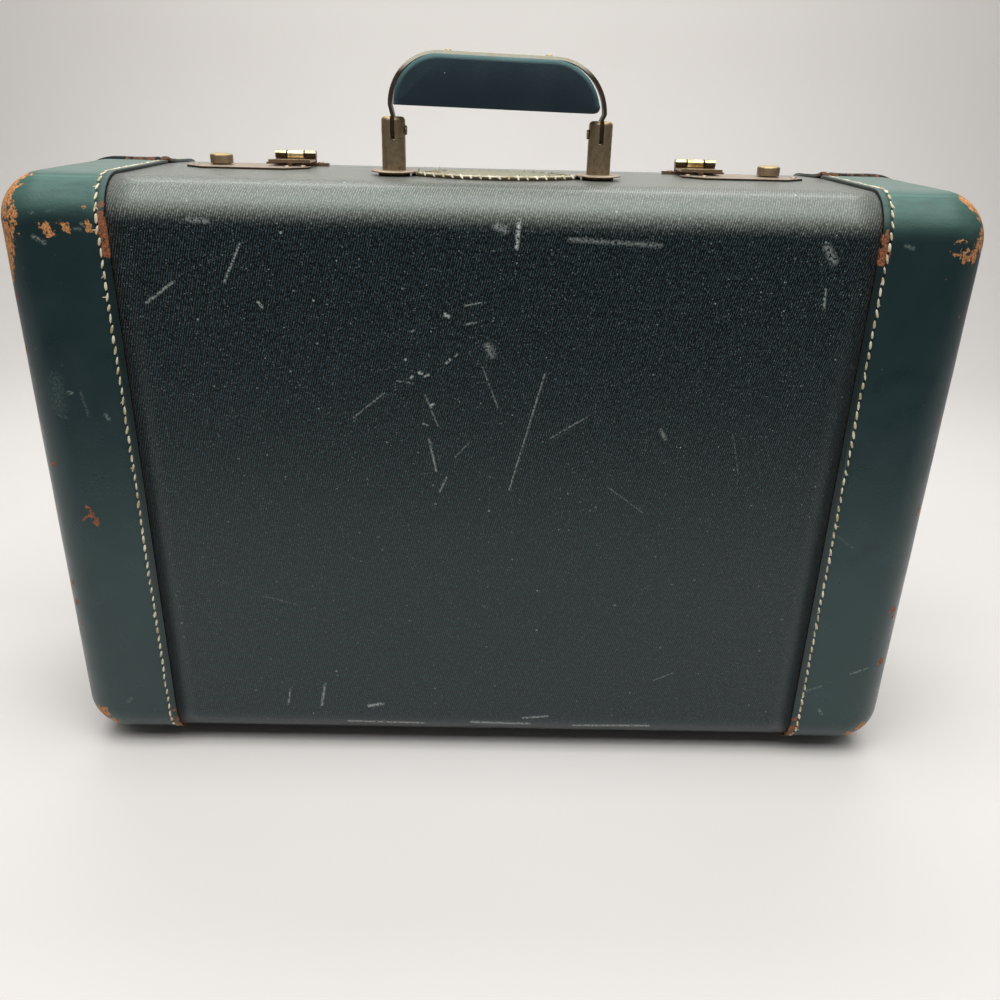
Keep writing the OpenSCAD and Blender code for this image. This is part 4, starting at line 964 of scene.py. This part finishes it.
pad_hide = dyed_hide("pad_cowhide", "#66634f", "#86826a", "#928d77", "#9a9680", "#3a2818", 0.6, [])
bm = bmesh.new()
line = None
columns = 16
pad_tip = pad_half_l * 0.985
for x in steps_between(-pad_tip, pad_tip, 3 * MM):
    w = pad_width(x)
    row = []
    for i in range(columns + 1):
        t = -1 + 2 * i / columns
        crown = (1 - t * t) * (1 - (x / pad_half_l) ** 2)
        z = pad_low.z + pad_edge_t + (pad_high.z - pad_low.z - pad_edge_t) * crown
        row.append(bm.verts.new((x, pad_y + t * w, z)))
    edges = [bm.edges.new(pair) for pair in zip(row, row[1:])]
    if line:
        bmesh.ops.bridge_loops(bm, edges=line + edges)
    line = edges
bmesh.ops.recalc_face_normals(bm, faces=bm.faces)
if sum(f.normal.z for f in bm.faces) < 0:
    bmesh.ops.reverse_faces(bm, faces=bm.faces)
skirt = draw_out(bm, [e for e in bm.edges if e.is_boundary], (0, 0, -pad_edge_t))
bmesh.ops.recalc_face_normals(bm, faces=bm.faces)
for vert in {v for e in skirt for v in e.verts}:
    vert.co.z = pad_low.z
piece = finished(bm, "pad_hide_cover", pad_hide, "case", ["handle_pad"])
piece.data.set_sharp_from_angle(angle=math.radians(50))
cut_top = pad_low.z + pad_edge_t + 0.1 * MM
note(piece, "edge_tint_and_light", [float(vert.co.z < cut_top) for vert in piece.data.vertices])

bm = bmesh.new()
sewn_l = pad_half_l * 0.93
run_pitch = 2.4 * MM
over_pitch = 5.2 * MM
pad_stitch = 3.6 * MM
for side in (-1, 1):
    for x in steps_between(-sewn_l, sewn_l, run_pitch):
        w = pad_width(x)
        middle = Vector((x, pad_y + side * (w - rng.uniform(0.7, 1.5) * MM), pad_low.z + 1.9 * MM))
        along = Vector((1, -side * x / plan_r + rng.uniform(-0.35, 0.35), 0)).normalized()
        out = Vector((-along.y * side * 0.5, along.x * side * 0.5, 1)).normalized()
        out = (out - along * out.dot(along)).normalized()
        lay_stitch(bm, middle, along, out, pad_stitch, 1.4 * MM * rng.uniform(0.7, 1.2))
    x = -sewn_l
    while x < sewn_l:
        middle = Vector((x, pad_y + side * (pad_width(x) - 0.8 * MM), pad_low.z + 1.6 * MM))
        along = Vector((rng.uniform(0.2, 0.7), side * 0.75, -0.6)).normalized()
        out = along.cross(x_axis).normalized()
        if out.z < 0:
            out = -out
        length = pad_stitch * rng.uniform(0.85, 1.15)
        lay_stitch(bm, middle, along, out, length, thread_w * rng.uniform(0.8, 1.1))
        x += over_pitch
# Loose ends along the front, in mm: where they start, how they lean, and their length.
loose_ends = ((-44, 0.1, 3.5), (-33, 0.35, 5.5), (-34, -0.4, 4), (12, 0.3, 3), (30, -0.4, 3.5))
out = Vector((0, -1, -0.25)).normalized()
for x, lean, length in loose_ends:
    x *= MM
    length *= MM
    along = Vector((lean, -0.25, 1)).normalized()
    foot = Vector((x, pad_y - pad_width(x) + 1.5 * MM, pad_low.z + 1.5 * MM))
    lay_stitch(bm, foot + along * length / 2, along, out, length, 0.7 * MM)
finished(bm, "pad_overcast_stitches", linen, "case", [])


# Studio: a pale paper sweep under and behind the case, three soft lamps above it, in front,
# over and behind, and weak light all round.
sweep_r = 0.5
front_y = -0.55
wall_y = 1.3
wall_top = 3.5
half_w = 4
bm = bmesh.new()
bm.edges.new([bm.verts.new((-half_w, y, 0)) for y in (front_y, wall_y - sweep_r)])
start = bm.verts.new((-half_w, wall_y - sweep_r, 0))
bmesh.ops.spin(
    bm, geom=[start], cent=(-half_w, wall_y - sweep_r, sweep_r), axis=(1, 0, 0), angle=math.pi / 2,
    steps=24)
bmesh.ops.remove_doubles(bm, verts=bm.verts, dist=1 * MM)
top = max(bm.verts, key=lambda v: v.co.z)
bm.edges.new((top, bm.verts.new((-half_w, wall_y, wall_top))))
draw_out(bm, list(bm.edges), (2 * half_w, 0, 0))
bmesh.ops.recalc_face_normals(bm, faces=bm.faces)
# Plain matt paper, very slightly cloudy.
paper, tree, shader, place = new_material("pale_paper_sweep")
fibre = add(tree, "TexNoise", {0: place["Object"], "Scale": 3, "Detail": 3})
tint = add(tree, "Mix", {0: fibre, 6: "#e4e0dc", 7: "#ebe8e4"}, **RGBA)
fill(shader, {"Base Color": tint, "Roughness": 0.9})
sweep = new_object(bm, "paper_sweep", paper)
sweep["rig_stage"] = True

scene.world = bpy.data.worlds.new("studio")
scene.world.use_nodes = True
fill(scene.world.node_tree.nodes["Background"], {"Color": "#d9d6d2", "Strength": 0.12})

# The lamps: name, place, tilt in degrees, size, and power in watts.
softboxes = (
    ("front_strip", (0, -0.75, 1.3), 30, (2.2, 0.42), 9.4),
    ("overhead_softbox", (0, -0.3, 1.35), 0, (1.6, 0.7), 14),
    ("rear_softbox", (0, 0.6, 1.3), 0, (1.6, 0.6), 10),
)
for name, spot, tilt, size, energy in softboxes:
    lamp_data = bpy.data.lights.new(name, "AREA")
    lamp_data.shape = "RECTANGLE"
    lamp_data.size, lamp_data.size_y = size
    lamp_data.energy = energy
    lamp = bpy.data.objects.new(name, lamp_data)
    lamp.location = spot
    lamp.rotation_euler = (math.radians(tilt), 0, 0)
    scene.collection.objects.link(lamp)

# Camera: close in front of the case and a little above its top, tilted down and slightly
# rolled. Its sizes are those of the photo's view.
focal_share = 0.9086
pan = Matrix.Rotation(math.radians(-0.744), 3, "Z")
tilt = Matrix.Rotation(math.radians(90 - 23.95), 3, "X")
roll = Matrix.Rotation(math.radians(1.4), 3, "Z")
camera_data = bpy.data.cameras.new("photo_view")
camera_data.lens = camera_data.sensor_width * focal_share
camera_data.shift_x = 0.0042
camera = bpy.data.objects.new("photo_view", camera_data)
camera.location = (-0.0028, -0.581, 0.4057)
camera.rotation_euler = (pan @ tilt @ roll).to_euler()
scene.collection.objects.link(camera)
scene.camera = camera
scene.view_settings.view_transform = "Standard"

low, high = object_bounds()
